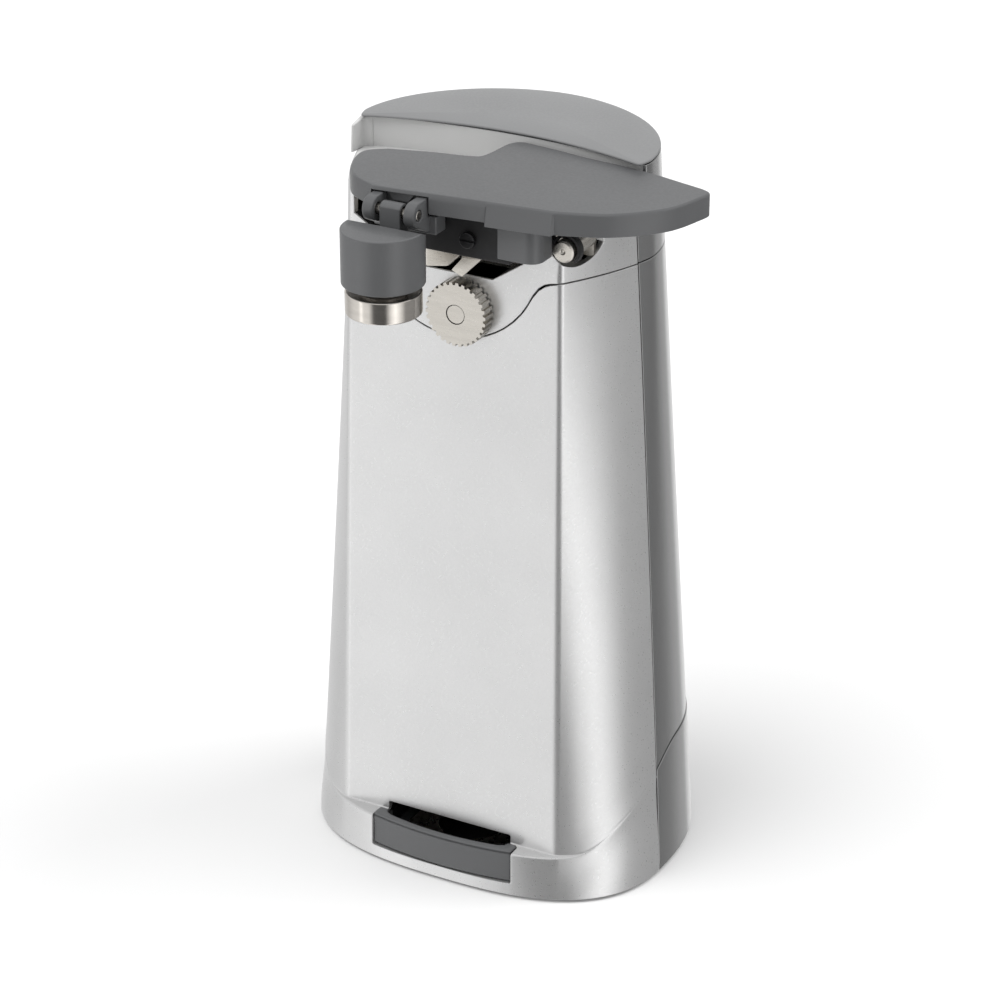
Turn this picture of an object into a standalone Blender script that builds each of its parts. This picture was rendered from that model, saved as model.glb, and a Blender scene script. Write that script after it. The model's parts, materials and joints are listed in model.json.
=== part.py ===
"""Electric can opener with a removable cutting lever, a rear knife sharpener and a bottle opener
drawer in its plinth.  +Z is up, the front looks along -Y, and +X is to the right seen from the front.
Lengths below are millimetres and become metres in the helpers.  The body is drawn about its own
middle line; one empty shifts it all so that the origin is under the middle of the outer box."""

from math import atan2, cos, hypot, pi, radians, sin, sqrt

import bmesh
import bpy
from mathutils import Matrix, Vector

MM = 0.001
GAP = 0.3

# Outer skin: straight taper from the plinth to the top
SKIN_HEIGHT = 247.3
HALF_WIDTH = (63.2, 50.4)
BACK_DEPTH = (64.2, 44.8)
BACK_POWER = (2.17, 1.87)
FRONT_POWER = (2.67, 1.22)
PANEL_HALF = (39.8, 37.0)
PANEL_Y = (-38.6, -32.8)
PLINTH_FRONT = 46.0
PLINTH_TOP = 16.6
PLINTH_LEDGE = 1.2
WALL = 2.6
SHELL_BOTTOM = 1.2

# Seams between the shells
SPLIT_Y = -7.0
COLLAR_Z = 216.0
APRON_CENTRE = (0.0, 222.0)
APRON_RADIUS = 30.0
REAR_SEAM_FRONT_Z = 39.0
REAR_SEAM_Z = 45.0
REAR_SEAM_Y = 5.0

# Head: shelf behind the lever, low right shoulder, wall under the cap
SHELF_Z = 236.2
SHELF_THICK = 2.2
SHOULDER_X = 36.0
SHOULDER_Z = 229.0
WALL_Y = (3.9, 0.1)
CAP_FRONT_Y = (3.6, -4.6)
HEAD_TOP = 246.2
CAP_EDGE_Z = 247.3
CAP_DOME = 1.6

# Working parts
BAY_DEPTH_Y = -23.2
SCOOP = (41.5, 232.0)
SCOOP_RADIUS = 10.3
STUD = (40.2, 228.3)
STUD_RADIUS = 3.5
STUD_FRONT_Y = -38.0
PLATE_FRONT_Y = -22.6
PLATE_THICK = 1.6
GEAR_PLATE_Y = -1.2
WHEEL = (4.0, 201.5)
WHEEL_RADIUS = 10.5
WHEEL_Y = (-39.2, -34.3)
ROTOR = (0.0, 150.0)
ROTOR_RADIUS = 12.5
SHAFT_RADIUS = 2.5
GEAR_LAYERS = (-17.0, -12.0, -7.0)
GEAR_THICK = 4.0
PINION_RADIUS = 4.5
FIRST_RADIUS = 17.0
SECOND_RADIUS = 16.0
OUTPUT_RADIUS = 18.0
FIRST_ANGLE = 120.0
MOTOR_Y = (4.0, 22.0)
CORE_HALF = 28.0
CORE_Z = (106.0, 178.0)
COIL_TOP = 118.0
BOLTS_X = {"left": -22.0, "right": 22.0}
FAN_Y = (23.4, 27.4)
STONES_Y = {"front": (30.6, 33.8), "rear": (34.6, 37.8)}
STONE_RADIUS = 11.0
GUIDE_HALF = 16.0
GUIDE_Y = (39.0, 51.0)
GUIDE_Z = (136.0, 166.0)
SWITCH = (22.0, -14.0)
SWITCH_HALF = 6.0
SWITCH_Z = (221.0, 231.0)

# Lever, with its cutter and the clevis that the magnet hangs in
LEVER_TOP = 245.0
LEVER_THICK = 7.4
LEVER_BOTTOM = LEVER_TOP - LEVER_THICK
LEVER_TIP_X = 76.2
CARRIER_X = (-12.0, 26.0)
CARRIER_Y = (-44.5, -34.4)
CARRIER_BOTTOM = 223.6
NOSE_BOTTOM = 226.4
HOOK_Y = (-36.0, -27.0)
BLADE_Y = (-43.0, -41.6)
RIM_BAR_Y = (-41.2, -37.0)
HINGE = (-57.0, 239.3)
PIN_RADIUS = 1.5
EAR_SPANS = {"left": (-17.4, -11.4), "right": (-2.6, 4.2)}
LUG_SPAN = (-10.8, -3.2)

# Magnet
MAGNET_AXIS = (-5.0, -67.0)
MAGNET_RADIUS = 12.8
MAGNET_FRONT_Y = MAGNET_AXIS[1] - MAGNET_RADIUS
ARM_Z = (220.4, 237.7)
CUP_RADIUS = 11.75
CUP_BOTTOM = 211.0
CUP_HEIGHT = 7.1
CUP_FLOOR = 5.0
RIDGE_Y = -66.3

# Drawer and feet
DRAWER_HALF = 26.0
DRAWER_Y = -43.4
DRAWER_BOW = 2.6
DRAWER_Z = (5.8, 17.4)
DRAWER_BACK_Y = 6.0
TRAY_HALF = 24.5
OPENER_MOUTH = (0.0, -22.0)
RAIL_WIDTH = 4.0
FOOT_RADIUS = 6.5
FEET = {"front_left": (-42, -20), "front_right": (42, -20), "rear_left": (-38, 36),
        "rear_right": (38, 36)}
GLAND_Y = (55.0, 66.0)
GLAND_Z = 16.0
GLAND_RADIUS = 4.2
CORD_RADIUS = 2.8
PLATE_Z = (1.5, 3.7)

CENTRE_X = (LEVER_TIP_X - HALF_WIDTH[0]) / 2
CENTRE_Y = (GLAND_Y[1] + MAGNET_FRONT_Y) / 2


def clear_scene():
    for item in list(bpy.data.objects):
        bpy.data.objects.remove(item, do_unlink=True)


clear_scene()
PARTS = bpy.data.collections.new("electric_can_opener")
CUTTERS = bpy.data.collections.new("cutters")
bpy.context.scene.collection.children.link(PARTS)
bpy.context.scene.collection.children.link(CUTTERS)
ORIGIN = bpy.data.objects.new("body_origin", None)
ORIGIN.location = (-CENTRE_X * MM, -CENTRE_Y * MM, 0)
PARTS.objects.link(ORIGIN)


def material(name, colour, roughness, metallic):
    made = bpy.data.materials.new(name)
    made.use_nodes = True
    shader = made.node_tree.nodes["Principled BSDF"]
    shader.inputs["Base Color"].default_value = (*colour, 1)
    shader.inputs["Roughness"].default_value = roughness
    shader.inputs["Metallic"].default_value = metallic
    made.diffuse_color = (*colour, 1)
    return made


SILVER = material("silver_paint", (0.62, 0.63, 0.64), 0.35, 0.6)
REAR_SILVER = material("rear_silver", (0.5, 0.51, 0.52), 0.22, 0.7)
GREY = material("grey_plastic", (0.17, 0.175, 0.18), 0.45, 0.0)
CAP_GREY = material("cap_grey", (0.3, 0.305, 0.31), 0.4, 0.0)
BLACK = material("black_plastic", (0.02, 0.02, 0.022), 0.5, 0.0)
RUBBER = material("rubber", (0.03, 0.03, 0.03), 0.8, 0.0)
STEEL = material("brushed_steel", (0.62, 0.6, 0.57), 0.3, 1.0)
NICKEL = material("nickel", (0.7, 0.68, 0.66), 0.15, 1.0)
FERRITE = material("ferrite", (0.08, 0.08, 0.09), 0.6, 0.2)
COPPER = material("copper", (0.7, 0.35, 0.18), 0.35, 1.0)
NYLON = material("nylon", (0.75, 0.74, 0.7), 0.5, 0.0)
STONE = material("grinding_stone", (0.55, 0.35, 0.3), 0.95, 0.0)


def add_mesh(name, bm, look=None):
    """Turn a bmesh, drawn in millimetres, into a named object; no look means a cutter."""
    bmesh.ops.scale(bm, vec=(MM, MM, MM), verts=bm.verts)
    bmesh.ops.recalc_face_normals(bm, faces=bm.faces)
    mesh = bpy.data.meshes.new(name)
    bm.to_mesh(mesh)
    bm.free()
    made = bpy.data.objects.new(name, mesh)
    made.parent = ORIGIN
    if look is None:
        CUTTERS.objects.link(made)
        made.hide_render = True
        made.display_type = "WIRE"
    else:
        mesh.materials.append(look)
        mesh.shade_smooth()
        mesh.set_sharp_from_angle(angle=radians(35))
        PARTS.objects.link(made)
    return made


def set_origin(made, point):
    """Move an object's origin, and not its shape, to a point on its joint's axis."""
    offset = Vector(point) * MM
    made.data.transform(Matrix.Translation(-offset))
    made.location = offset


def box(name, x, y, z, look=None):
    bm = bmesh.new()
    bmesh.ops.create_cube(bm, size=1)
    bmesh.ops.scale(bm, vec=(x[1] - x[0], y[1] - y[0], z[1] - z[0]), verts=bm.verts)
    bmesh.ops.translate(bm, vec=((x[0] + x[1]) / 2, (y[0] + y[1]) / 2, (z[0] + z[1]) / 2), verts=bm.verts)
    return add_mesh(name, bm, look)


def rod(name, across, along, radius, axis="Y", look=None, sides=24):
    """A cylinder; across is its centre in the two other axes, along its two ends."""
    bm = bmesh.new()
    length = along[1] - along[0]
    bmesh.ops.create_cone(bm, cap_ends=True, segments=sides, radius1=radius, radius2=radius, depth=length)
    middle = (along[0] + along[1]) / 2
    if axis == "Y":
        bmesh.ops.rotate(bm, matrix=Matrix.Rotation(pi / 2, 3, "X"), verts=bm.verts)
        centre = (across[0], middle, across[1])
    elif axis == "X":
        bmesh.ops.rotate(bm, matrix=Matrix.Rotation(pi / 2, 3, "Y"), verts=bm.verts)
        centre = (middle, across[0], across[1])
    else:
        centre = (across[0], across[1], middle)
    bmesh.ops.translate(bm, vec=centre, verts=bm.verts)
    return add_mesh(name, bm, look)


def arc(centre, radius, start, end, steps):
    """Points of an arc, angles in degrees from the first axis towards the second."""
    points = []
    for i in range(steps + 1):
        angle = radians(start + (end - start) * i / steps)
        points.append((centre[0] + radius * cos(angle), centre[1] + radius * sin(angle)))
    return points


def circle(centre, radius, steps=24):
    return arc(centre, radius, 0, 360, steps)[:-1]


def toothed(centre, tip, depth, teeth):
    """A gear or knurled outline: each tooth has a tip and a root."""
    points = []
    for i in range(teeth):
        for share, radius in ((0.0, tip), (0.45, tip), (0.55, tip - depth), (0.9, tip - depth)):
            angle = 2 * pi * (i + share) / teeth
            points.append((centre[0] + radius * cos(angle), centre[1] + radius * sin(angle)))
    return points


def smooth_path(points, steps):
    """A Catmull-Rom curve through open points."""
    padded = [points[0], *points, points[-1]]
    path = []
    for a, b, c, d in zip(padded, padded[1:], padded[2:], padded[3:]):
        for i in range(steps):
            t = i / steps
            path.append(tuple(0.5 * (2 * q + (r - p) * t + (2 * p - 5 * q + 4 * r - s) * t ** 2
                                     + (3 * q - p - 3 * r + s) * t ** 3)
                              for p, q, r, s in zip(a, b, c, d)))
    path.append(points[-1])
    return path


def extruded(name, loops, along, axis="Y", look=None):
    """A flat outline, with holes after the first loop, drawn in the plane across the axis."""
    curve = bpy.data.curves.new(name, "CURVE")
    curve.dimensions = "2D"
    curve.fill_mode = "BOTH"
    curve.extrude = (along[1] - along[0]) / 2
    for loop in loops:
        spline = curve.splines.new("POLY")
        spline.points.add(len(loop) - 1)
        for place, (u, v) in zip(spline.points, loop):
            place.co = (u, v, 0, 1)
        spline.use_cyclic_u = True
    source = bpy.data.objects.new(name + "_outline", curve)
    CUTTERS.objects.link(source)
    bpy.context.view_layer.update()
    flat = bpy.data.meshes.new_from_object(source.evaluated_get(bpy.context.evaluated_depsgraph_get()))
    bm = bmesh.new()
    bm.from_mesh(flat)
    bmesh.ops.remove_doubles(bm, verts=bm.verts, dist=0.001)
    bpy.data.objects.remove(source, do_unlink=True)
    bpy.data.curves.remove(curve)
    bpy.data.meshes.remove(flat)
    turn = {"Y": Matrix.Rotation(pi / 2, 3, "X"), "Z": Matrix.Identity(3),
            "X": Matrix(((0, 0, 1), (1, 0, 0), (0, 1, 0)))}[axis]
    bmesh.ops.rotate(bm, matrix=turn, verts=bm.verts)
    middle = (along[0] + along[1]) / 2
    shift = {"Y": (0, middle, 0), "Z": (0, 0, middle), "X": (middle, 0, 0)}[axis]
    bmesh.ops.translate(bm, vec=shift, verts=bm.verts)
    return add_mesh(name, bm, look)


def turned(name, profile, centre, look):
    """A solid turned about a vertical axis; the profile's outer side runs from top to bottom."""
    bm = bmesh.new()
    points = [bm.verts.new((r, 0, z)) for r, z in profile]
    for first, second in zip(points, points[1:]):
        bm.edges.new((first, second))
    bmesh.ops.scale(bm, vec=(MM, MM, MM), verts=bm.verts)
    mesh = bpy.data.meshes.new(name)
    bm.to_mesh(mesh)
    bm.free()
    mesh.materials.append(look)
    made = bpy.data.objects.new(name, mesh)
    PARTS.objects.link(made)
    made.parent = ORIGIN
    made.location = (centre[0] * MM, centre[1] * MM, 0)
    screw = made.modifiers.new("turn", "SCREW")
    screw.steps = 32
    screw.render_steps = 32
    screw.use_merge_vertices = True
    screw.merge_threshold = 0.00001
    return made


def combine(target, other, operation="DIFFERENCE"):
    boolean = target.modifiers.new(other.name, "BOOLEAN")
    boolean.operation = operation
    boolean.object = other
    boolean.solver = "EXACT"
    return target


def at_height(pair, z):
    return pair[0] + (pair[1] - pair[0]) * z / SKIN_HEIGHT


def quarter(half_x, half_y, power, steps):
    """A superellipse quarter from the side, at +X, to the middle line."""
    points = []
    for i in range(steps + 1):
        angle = pi / 2 * i / steps
        points.append((half_x * cos(angle) ** (2 / power), half_y * sin(angle) ** (2 / power)))
    return points


def skin_ring(z, plinth=False, back_steps=10, front_steps=7):
    """The outline at one height: flat front panel, swept sides and a rounded back."""
    side = at_height(HALF_WIDTH, z)
    panel_half = at_height(PANEL_HALF, z)
    panel_y = -at_height(PANEL_Y, z)
    power = at_height(FRONT_POWER, z)
    depth = panel_y / (1 - (panel_half / side) ** power) ** (1 / power)
    back = quarter(side, at_height(BACK_DEPTH, z), at_height(BACK_POWER, z), back_steps)
    right = []
    front_depth = PLINTH_FRONT if plinth else depth
    for i in range(front_steps + 1):
        share = (i / front_steps) ** 0.7
        x = side - (side - panel_half) * share
        if plinth:
            x = side * (1 - (1 - panel_half / side) * share)
        right.append((x, -front_depth * max(0.0, 1 - (x / side) ** power) ** (1 / power)))
    middle = []
    for i in range(1, 8):
        x = panel_half * (1 - i / 4)
        y = -front_depth * (1 - (abs(x) / side) ** power) ** (1 / power) if plinth else -panel_y
        middle.append((x, y))
    left = [(-x, y) for x, y in reversed(right)]
    far = [(-x, y) for x, y in back]
    return right + middle + left + far[1:] + list(reversed(back))[1:-1]


def inset(ring, distance):
    """Move every point of a ring in along the mean normal of its two edges."""
    moved = []
    count = len(ring)
    for i, (x, y) in enumerate(ring):
        before = ring[i - 1]
        after = ring[(i + 1) % count]
        first = Vector((x - before[0], y - before[1])).normalized()
        second = Vector((after[0] - x, after[1] - y)).normalized()
        normal = Vector((-(first.y + second.y), first.x + second.x)).normalized()
        if normal.dot(Vector((x, y))) > 0:
            normal = -normal
        reach = distance / max(0.6, abs(normal.dot(Vector((-first.y, first.x)))))
        moved.append((x + normal.x * reach, y + normal.y * reach))
    return moved


def loft(name, levels, look=None):
    """Join rings of equal count, each given with its height, and cap both ends."""
    bm = bmesh.new()
    rows = [[bm.verts.new((x, y, z)) for x, y in ring] for z, ring in levels]
    count = len(rows[0])
    for lower, upper in zip(rows, rows[1:]):
        for i in range(count):
            j = (i + 1) % count
            bm.faces.new((lower[i], lower[j], upper[j], upper[i]))
    bm.faces.new(list(reversed(rows[0])))
    bm.faces.new(rows[-1])
    return add_mesh(name, bm, look)


def skin(name, heights, look=None, thickness=0.0, plinth=False):
    levels = []
    for z in heights:
        ring = skin_ring(z)
        levels.append((z, inset(ring, thickness) if thickness else ring))
    if plinth:
        low = [(SHELL_BOTTOM, skin_ring(0, True)), (PLINTH_TOP, skin_ring(0, True))]
        levels = low + [(z, ring) for z, ring in levels if z > PLINTH_TOP]
    return loft(name, levels, look)


def front_edge(pair, x):
    """Depth of the bowed wall, or of the cap's front edge, across the head."""
    return pair[0] + (pair[1] - pair[0]) * (x / 48) ** 2


FAR = 120
FRONT_HALF = box("cut_front_half", (-FAR, FAR), (-FAR, SPLIT_Y - GAP / 2), (-20, 300))
REAR_HALF = box("cut_rear_half", (-FAR, FAR), (SPLIT_Y + GAP / 2, FAR), (-20, 300))


def collar_outline(gap):
    """Everything above the collar seam, with the round apron that dips behind the drive wheel."""
    radius = APRON_RADIUS + gap
    level = COLLAR_Z - gap
    start = atan2(level - APRON_CENTRE[1], sqrt(radius ** 2 - (APRON_CENTRE[1] - level) ** 2))
    degrees = start * 180 / pi
    dip = arc(APRON_CENTRE, radius, -180 - degrees, degrees, 20)
    return [(-FAR, level), *dip, (FAR, level), (FAR, 300), (-FAR, 300)]


def mechanism_cutters():
    """The bay, the round scoop, the low shoulder and the shaft holes, shared by the front shells."""
    bay = [(-35, 260), (-35, 226), (-14, 213), (14, 213), (33, 225.9), (41, 225.9), (41, 260)]
    cuts = [extruded("cut_bay", [bay], (-60, BAY_DEPTH_Y))]
    cuts.append(rod("cut_scoop", SCOOP, (-60, PLATE_FRONT_Y + PLATE_THICK + 0.5), SCOOP_RADIUS, sides=32))
    top = [(-FAR, SHELF_Z), (SHOULDER_X, SHELF_Z), (SHOULDER_X, SHOULDER_Z), (FAR, SHOULDER_Z),
           (FAR, 300), (-FAR, 300)]
    cuts.append(extruded("cut_head_top", [top], (-FAR, SPLIT_Y)))
    cuts.append(rod("cut_shaft_hole", WHEEL, (-60, -25), 4.2))
    return cuts


STEP_X = SHOULDER_X - 2.5
LOW_CEILING = SHOULDER_Z - SHELF_THICK
HIGH_CEILING = SHELF_Z - SHELF_THICK
CAVITY_VIEW = [(-FAR, 150), (FAR, 150), (FAR, LOW_CEILING), (STEP_X, LOW_CEILING), (STEP_X, HIGH_CEILING),
               (-FAR, HIGH_CEILING)]


def head_cavity(name, levels):
    """The hollow under the shelf, stepped down under the right shoulder."""
    hollow = skin(name, levels, thickness=WALL)
    return combine(hollow, extruded(name + "_view", [CAVITY_VIEW], (-FAR, FAR)), "INTERSECT")


def front_parts():
    bay_cuts = mechanism_cutters()
    drawer_slot = box("cut_drawer_slot", (-DRAWER_HALF - 0.5, DRAWER_HALF + 0.5), (-60, -30), (5.3, 19.2))
    shell = skin("front_shell", [PLINTH_TOP + PLINTH_LEDGE, 60, 120, 180, 222], SILVER, plinth=True)
    combine(shell, FRONT_HALF, "INTERSECT")
    combine(shell, skin("cut_front_hollow", [-5, 60, 120, 180, 230], thickness=WALL))
    combine(shell, extruded("cut_collar_lower", [collar_outline(GAP)], (-FAR, FAR)))
    combine(shell, drawer_slot)
    combine(shell, bay_cuts[0])

    head = skin("head_front", [185, 200, 216, 240], SILVER)
    combine(head, FRONT_HALF, "INTERSECT")
    combine(head, head_cavity("cut_head_hollow", [180, 200, 216, 240]))
    combine(head, extruded("cut_collar_upper", [collar_outline(0)], (-FAR, FAR)), "INTERSECT")
    for cut in bay_cuts:
        combine(head, cut)
    combine(head, rod("cut_button_hole", SWITCH, (230, 240), 2.6, "Z"))


def rear_parts():
    low_view = [(-FAR, -20), (FAR, -20), (FAR, REAR_SEAM_Z), (REAR_SEAM_Y, REAR_SEAM_Z),
                (SPLIT_Y, REAR_SEAM_FRONT_Z), (-FAR, REAR_SEAM_FRONT_Z - 20)]
    raised = [(y, z + GAP if z > 0 else z) for y, z in low_view]
    base = skin("rear_base", [SHELL_BOTTOM, 50], REAR_SILVER)
    combine(base, REAR_HALF, "INTERSECT")
    combine(base, skin("cut_base_hollow", [-5, 55], thickness=WALL))
    combine(base, extruded("cut_low_rear", [low_view], (-FAR, FAR), "X"), "INTERSECT")
    combine(base, rod("cut_gland_hole", (0, GLAND_Z), (50, 80), GLAND_RADIUS + GAP))

    shell = skin("rear_shell", [30, 60, 120, 180, COLLAR_Z - GAP / 2], REAR_SILVER)
    combine(shell, REAR_HALF, "INTERSECT")
    combine(shell, skin("cut_rear_hollow", [20, 60, 120, 180, 225], thickness=WALL))
    combine(shell, extruded("cut_raised_rear", [raised], (-FAR, FAR), "X"))
    margin = 0.4
    combine(shell, box("cut_sharpener", (-GUIDE_HALF - margin, GUIDE_HALF + margin), (30, 80),
                       (GUIDE_Z[0] - margin, GUIDE_Z[1] + margin)))

    head = skin("head_rear", [COLLAR_Z + GAP / 2, 230, HEAD_TOP], REAR_SILVER)
    combine(head, REAR_HALF, "INTERSECT")
    steps = [(-60 + 8 * i) for i in range(16)]
    bow = [(x, front_edge(WALL_Y, x)) for x in steps]
    combine(head, extruded("cut_shelf", [bow + [(60, -60), (-60, -60)]], (SHELF_Z, 300), "Z"))
    low = [(SHOULDER_X, front_edge(WALL_Y, SHOULDER_X)), *[(x, front_edge(WALL_Y, x)) for x in (44, 52, 60)]]
    combine(head, extruded("cut_shoulder", [low + [(60, -60), (SHOULDER_X, -60)]], (SHOULDER_Z, 300), "Z"))
    combine(head, head_cavity("cut_rear_head_hollow", [205, 230, 240]))
    behind = skin("cut_behind_wall", [205, 230, 260], thickness=WALL)
    back = [(x, y + 2.4) for x, y in bow]
    combine(behind, extruded("cut_behind_view", [back + [(60, 100), (-60, 100)]], (200, 270), "Z"), "INTERSECT")
    combine(head, behind)


def cap_ring(z, shrink):
    """The D-shaped cap: the skin's back and sides, and a bowed front edge."""
    ring = [(x, y) for x, y in skin_ring(z)]
    edge = []
    for x, y in ring:
        limit = front_edge(CAP_FRONT_Y, x)
        edge.append((x, max(y, limit)))
    centre_y = 20.0
    return [(x * shrink, centre_y + (y - centre_y) * shrink) for x, y in edge]


def top_cap():
    levels = [(HEAD_TOP + GAP, cap_ring(CAP_EDGE_Z, 1.0)), (CAP_EDGE_Z, cap_ring(CAP_EDGE_Z, 1.0))]
    for share in (0.75, 0.5, 0.25):
        levels.append((CAP_EDGE_Z + CAP_DOME * (1 - share ** 2), cap_ring(CAP_EDGE_Z, share)))
    loft("top_cap", levels, CAP_GREY)


def plinth_parts():
    plate = inset(skin_ring(0), WALL + 0.5)
    extruded("base_plate", [plate], PLATE_Z, "Z", BLACK)
    for place, spot in FEET.items():
        rod("foot_" + place, spot, (0, SHELL_BOTTOM), FOOT_RADIUS, "Z", RUBBER)
    for side, sign in (("left", -1), ("right", 1)):
        inner = TRAY_HALF + GAP
        edges = sorted((sign * inner, sign * (inner + RAIL_WIDTH)))
        box("drawer_rail_" + side, edges, (-33, 12), (4.0, 13.0), BLACK)
    gland = rod("cord_gland", (0, GLAND_Z), GLAND_Y, GLAND_RADIUS, look=BLACK)
    combine(gland, rod("cut_cord_bore", (0, GLAND_Z), (50, 80), CORD_RADIUS))


def drawer():
    half = DRAWER_HALF
    floor_top = DRAWER_Z[0] + 2.6
    bow = [(half * (i / 6 - 1), DRAWER_Y - DRAWER_BOW * (1 - (i / 6 - 1) ** 2)) for i in range(13)]
    front = extruded("drawer_tray", [bow + [(half, DRAWER_Y + 2.4), (-half, DRAWER_Y + 2.4)]],
                     DRAWER_Z, "Z", GREY)
    edge = [(-TRAY_HALF, DRAWER_Y + 1), (TRAY_HALF, DRAWER_Y + 1), (TRAY_HALF, DRAWER_BACK_Y),
            (-TRAY_HALF, DRAWER_BACK_Y)]
    floor = extruded("join_drawer_floor", [edge, circle(OPENER_MOUTH, 13.5, 28)], (DRAWER_Z[0], floor_top), "Z")
    combine(front, floor, "UNION")
    lip = [*arc(OPENER_MOUTH, 11.5, -60, 240, 24), (-5, -33), (5, -33)]
    plate = [(-19, DRAWER_Y + 3), (19, DRAWER_Y + 3), (19, -4), (-19, -4)]
    extruded("drawer_opener_plate", [plate, lip], (floor_top + GAP, floor_top + GAP + 1.5), "Z", STEEL)


def meet(first, first_reach, second, second_reach):
    """The point, on the right, at two given distances from two centres."""
    dx = second[0] - first[0]
    dz = second[1] - first[1]
    apart = hypot(dx, dz)
    along = (first_reach ** 2 - second_reach ** 2 + apart ** 2) / (2 * apart)
    aside = sqrt(first_reach ** 2 - along ** 2)
    return (first[0] + (along * dx + aside * dz) / apart, first[1] + (along * dz - aside * dx) / apart)


FIRST_REACH = PINION_RADIUS + FIRST_RADIUS + GAP
FIRST = (ROTOR[0] + FIRST_REACH * cos(radians(FIRST_ANGLE)), ROTOR[1] + FIRST_REACH * sin(radians(FIRST_ANGLE)))
SECOND = meet(FIRST, PINION_RADIUS + SECOND_RADIUS + GAP, WHEEL, PINION_RADIUS + OUTPUT_RADIUS + GAP)


def gear(name, centre, radius, layer, bore, teeth, look):
    start = GEAR_LAYERS[layer]
    made = extruded(name, [toothed(centre, radius, 1.2, teeth), circle(centre, bore + GAP, 16)],
                    (start, start + GEAR_THICK), look=look)
    set_origin(made, (centre[0], start, centre[1]))


def shaft(name, centre, along, radius):
    made = rod(name, centre, along, radius, look=STEEL, sides=16)
    set_origin(made, (centre[0], along[0], centre[1]))


def gear_train():
    inner = (PLATE_FRONT_Y + PLATE_THICK + GAP, GEAR_PLATE_Y - GAP)
    for name, centre, radius, layer, teeth in (("first", FIRST, FIRST_RADIUS, 0, 38),
                                               ("second", SECOND, SECOND_RADIUS, 1, 36)):
        gear(name + "_gear", centre, radius, layer, 2.0, teeth, NYLON)
        gear(name + "_pinion", centre, PINION_RADIUS, layer + 1, 2.0, 10, STEEL)
        shaft(name + "_gear_shaft", centre, inner, 2.0)
    gear("output_gear", WHEEL, OUTPUT_RADIUS, 2, 3.0, 40, STEEL)
    gear("motor_pinion", ROTOR, PINION_RADIUS, 0, SHAFT_RADIUS, 10, STEEL)
    shaft("drive_shaft", WHEEL, (WHEEL_Y[0] + 0.2, inner[1]), 3.0)
    wheel = extruded("drive_wheel", [toothed(WHEEL, WHEEL_RADIUS, 0.8, 30), circle(WHEEL, 3.0 + GAP, 16)],
                     WHEEL_Y, look=STEEL)
    set_origin(wheel, (WHEEL[0], WHEEL_Y[0], WHEEL[1]))


def frame_plates():
    tab = [*arc(SCOOP, SCOOP_RADIUS - 0.4, 222, 278, 8), (43, 235.8), (34, 235.8)]
    outline = [(-34, 110), (34, 110), *tab, (34, 233.4), (-34, 233.4)]
    extruded("chassis_plate", [outline, circle(WHEEL, 3.6, 16)],
             (PLATE_FRONT_Y, PLATE_FRONT_Y + PLATE_THICK), look=STEEL)
    rod("pivot_stud", STUD, (STUD_FRONT_Y, PLATE_FRONT_Y - GAP), STUD_RADIUS, look=STEEL, sides=28)
    corners = [(-27, 137), (27, 137), (-27, 215), (27, 215)]
    plate = [(-31, 133), (31, 133), (31, 223), (-31, 223)]
    extruded("gear_plate", [plate, circle(ROTOR, SHAFT_RADIUS + 0.6, 16)],
             (GEAR_PLATE_Y, GEAR_PLATE_Y + PLATE_THICK), look=STEEL)
    for i, corner in enumerate(corners):
        rod(f"gearbox_post_{i + 1}", corner, (PLATE_FRONT_Y + PLATE_THICK + GAP, GEAR_PLATE_Y - GAP), 2.8,
            look=STEEL, sides=12)


def motor():
    bolts = [(x, ROTOR[1]) for x in BOLTS_X.values()]
    core = [(-CORE_HALF, CORE_Z[0]), (CORE_HALF, CORE_Z[0]), (CORE_HALF, CORE_Z[1]), (-CORE_HALF, CORE_Z[1])]
    window = [(-15.5, 118), (15.5, 118), (15.5, 132), (-15.5, 132)]
    extruded("motor_core", [core, window, circle(ROTOR, ROTOR_RADIUS + 0.7, 28),
                            *[circle(bolt, 2.4, 12) for bolt in bolts]], MOTOR_Y, look=FERRITE)
    for side, bolt in zip(BOLTS_X, bolts):
        rod("motor_bolt_" + side, bolt, (GEAR_PLATE_Y + PLATE_THICK + GAP, 28.2), 2.0, look=STEEL, sides=12)
    bar = [(-CORE_HALF, 143), (CORE_HALF, 143), (CORE_HALF, 157), (-CORE_HALF, 157)]
    extruded("rear_bracket", [bar, circle(ROTOR, SHAFT_RADIUS + 0.6, 16)], (28.5, 30.0), look=STEEL)

    def sleeve(grow):
        low = (MOTOR_Y[0] - grow, CORE_Z[0] - grow)
        high = (MOTOR_Y[1] + grow, COIL_TOP + grow)
        return [low, (high[0], low[1]), high, (low[0], high[1])]

    extruded("coil_bobbin", [sleeve(2.4), sleeve(0.4)], (-14.8, 14.8), "X", BLACK)
    extruded("motor_coil", [sleeve(9.0), sleeve(2.4 + GAP)], (-13.2, 13.2), "X", COPPER)


def rotor():
    shaft("rotor_shaft", ROTOR, (-18.0, 38.5), SHAFT_RADIUS)
    rounds = (("rotor_core", ROTOR_RADIUS, (MOTOR_Y[0] - 0.5, MOTOR_Y[1] + 0.5), FERRITE),
              ("grinding_wheel_front", STONE_RADIUS, STONES_Y["front"], STONE),
              ("grinding_wheel_rear", STONE_RADIUS, STONES_Y["rear"], STONE))
    for name, radius, along, look in rounds:
        rings = [circle(ROTOR, radius, 28), circle(ROTOR, SHAFT_RADIUS + GAP, 16)]
        made = extruded(name, rings, along, look=look)
        set_origin(made, (ROTOR[0], along[0], ROTOR[1]))
    fan = extruded("cooling_fan", [toothed(ROTOR, 17.0, 9.0, 9), circle(ROTOR, SHAFT_RADIUS + GAP, 16)],
                   FAN_Y, look=NYLON)
    set_origin(fan, (ROTOR[0], FAN_Y[0], ROTOR[1]))


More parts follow.
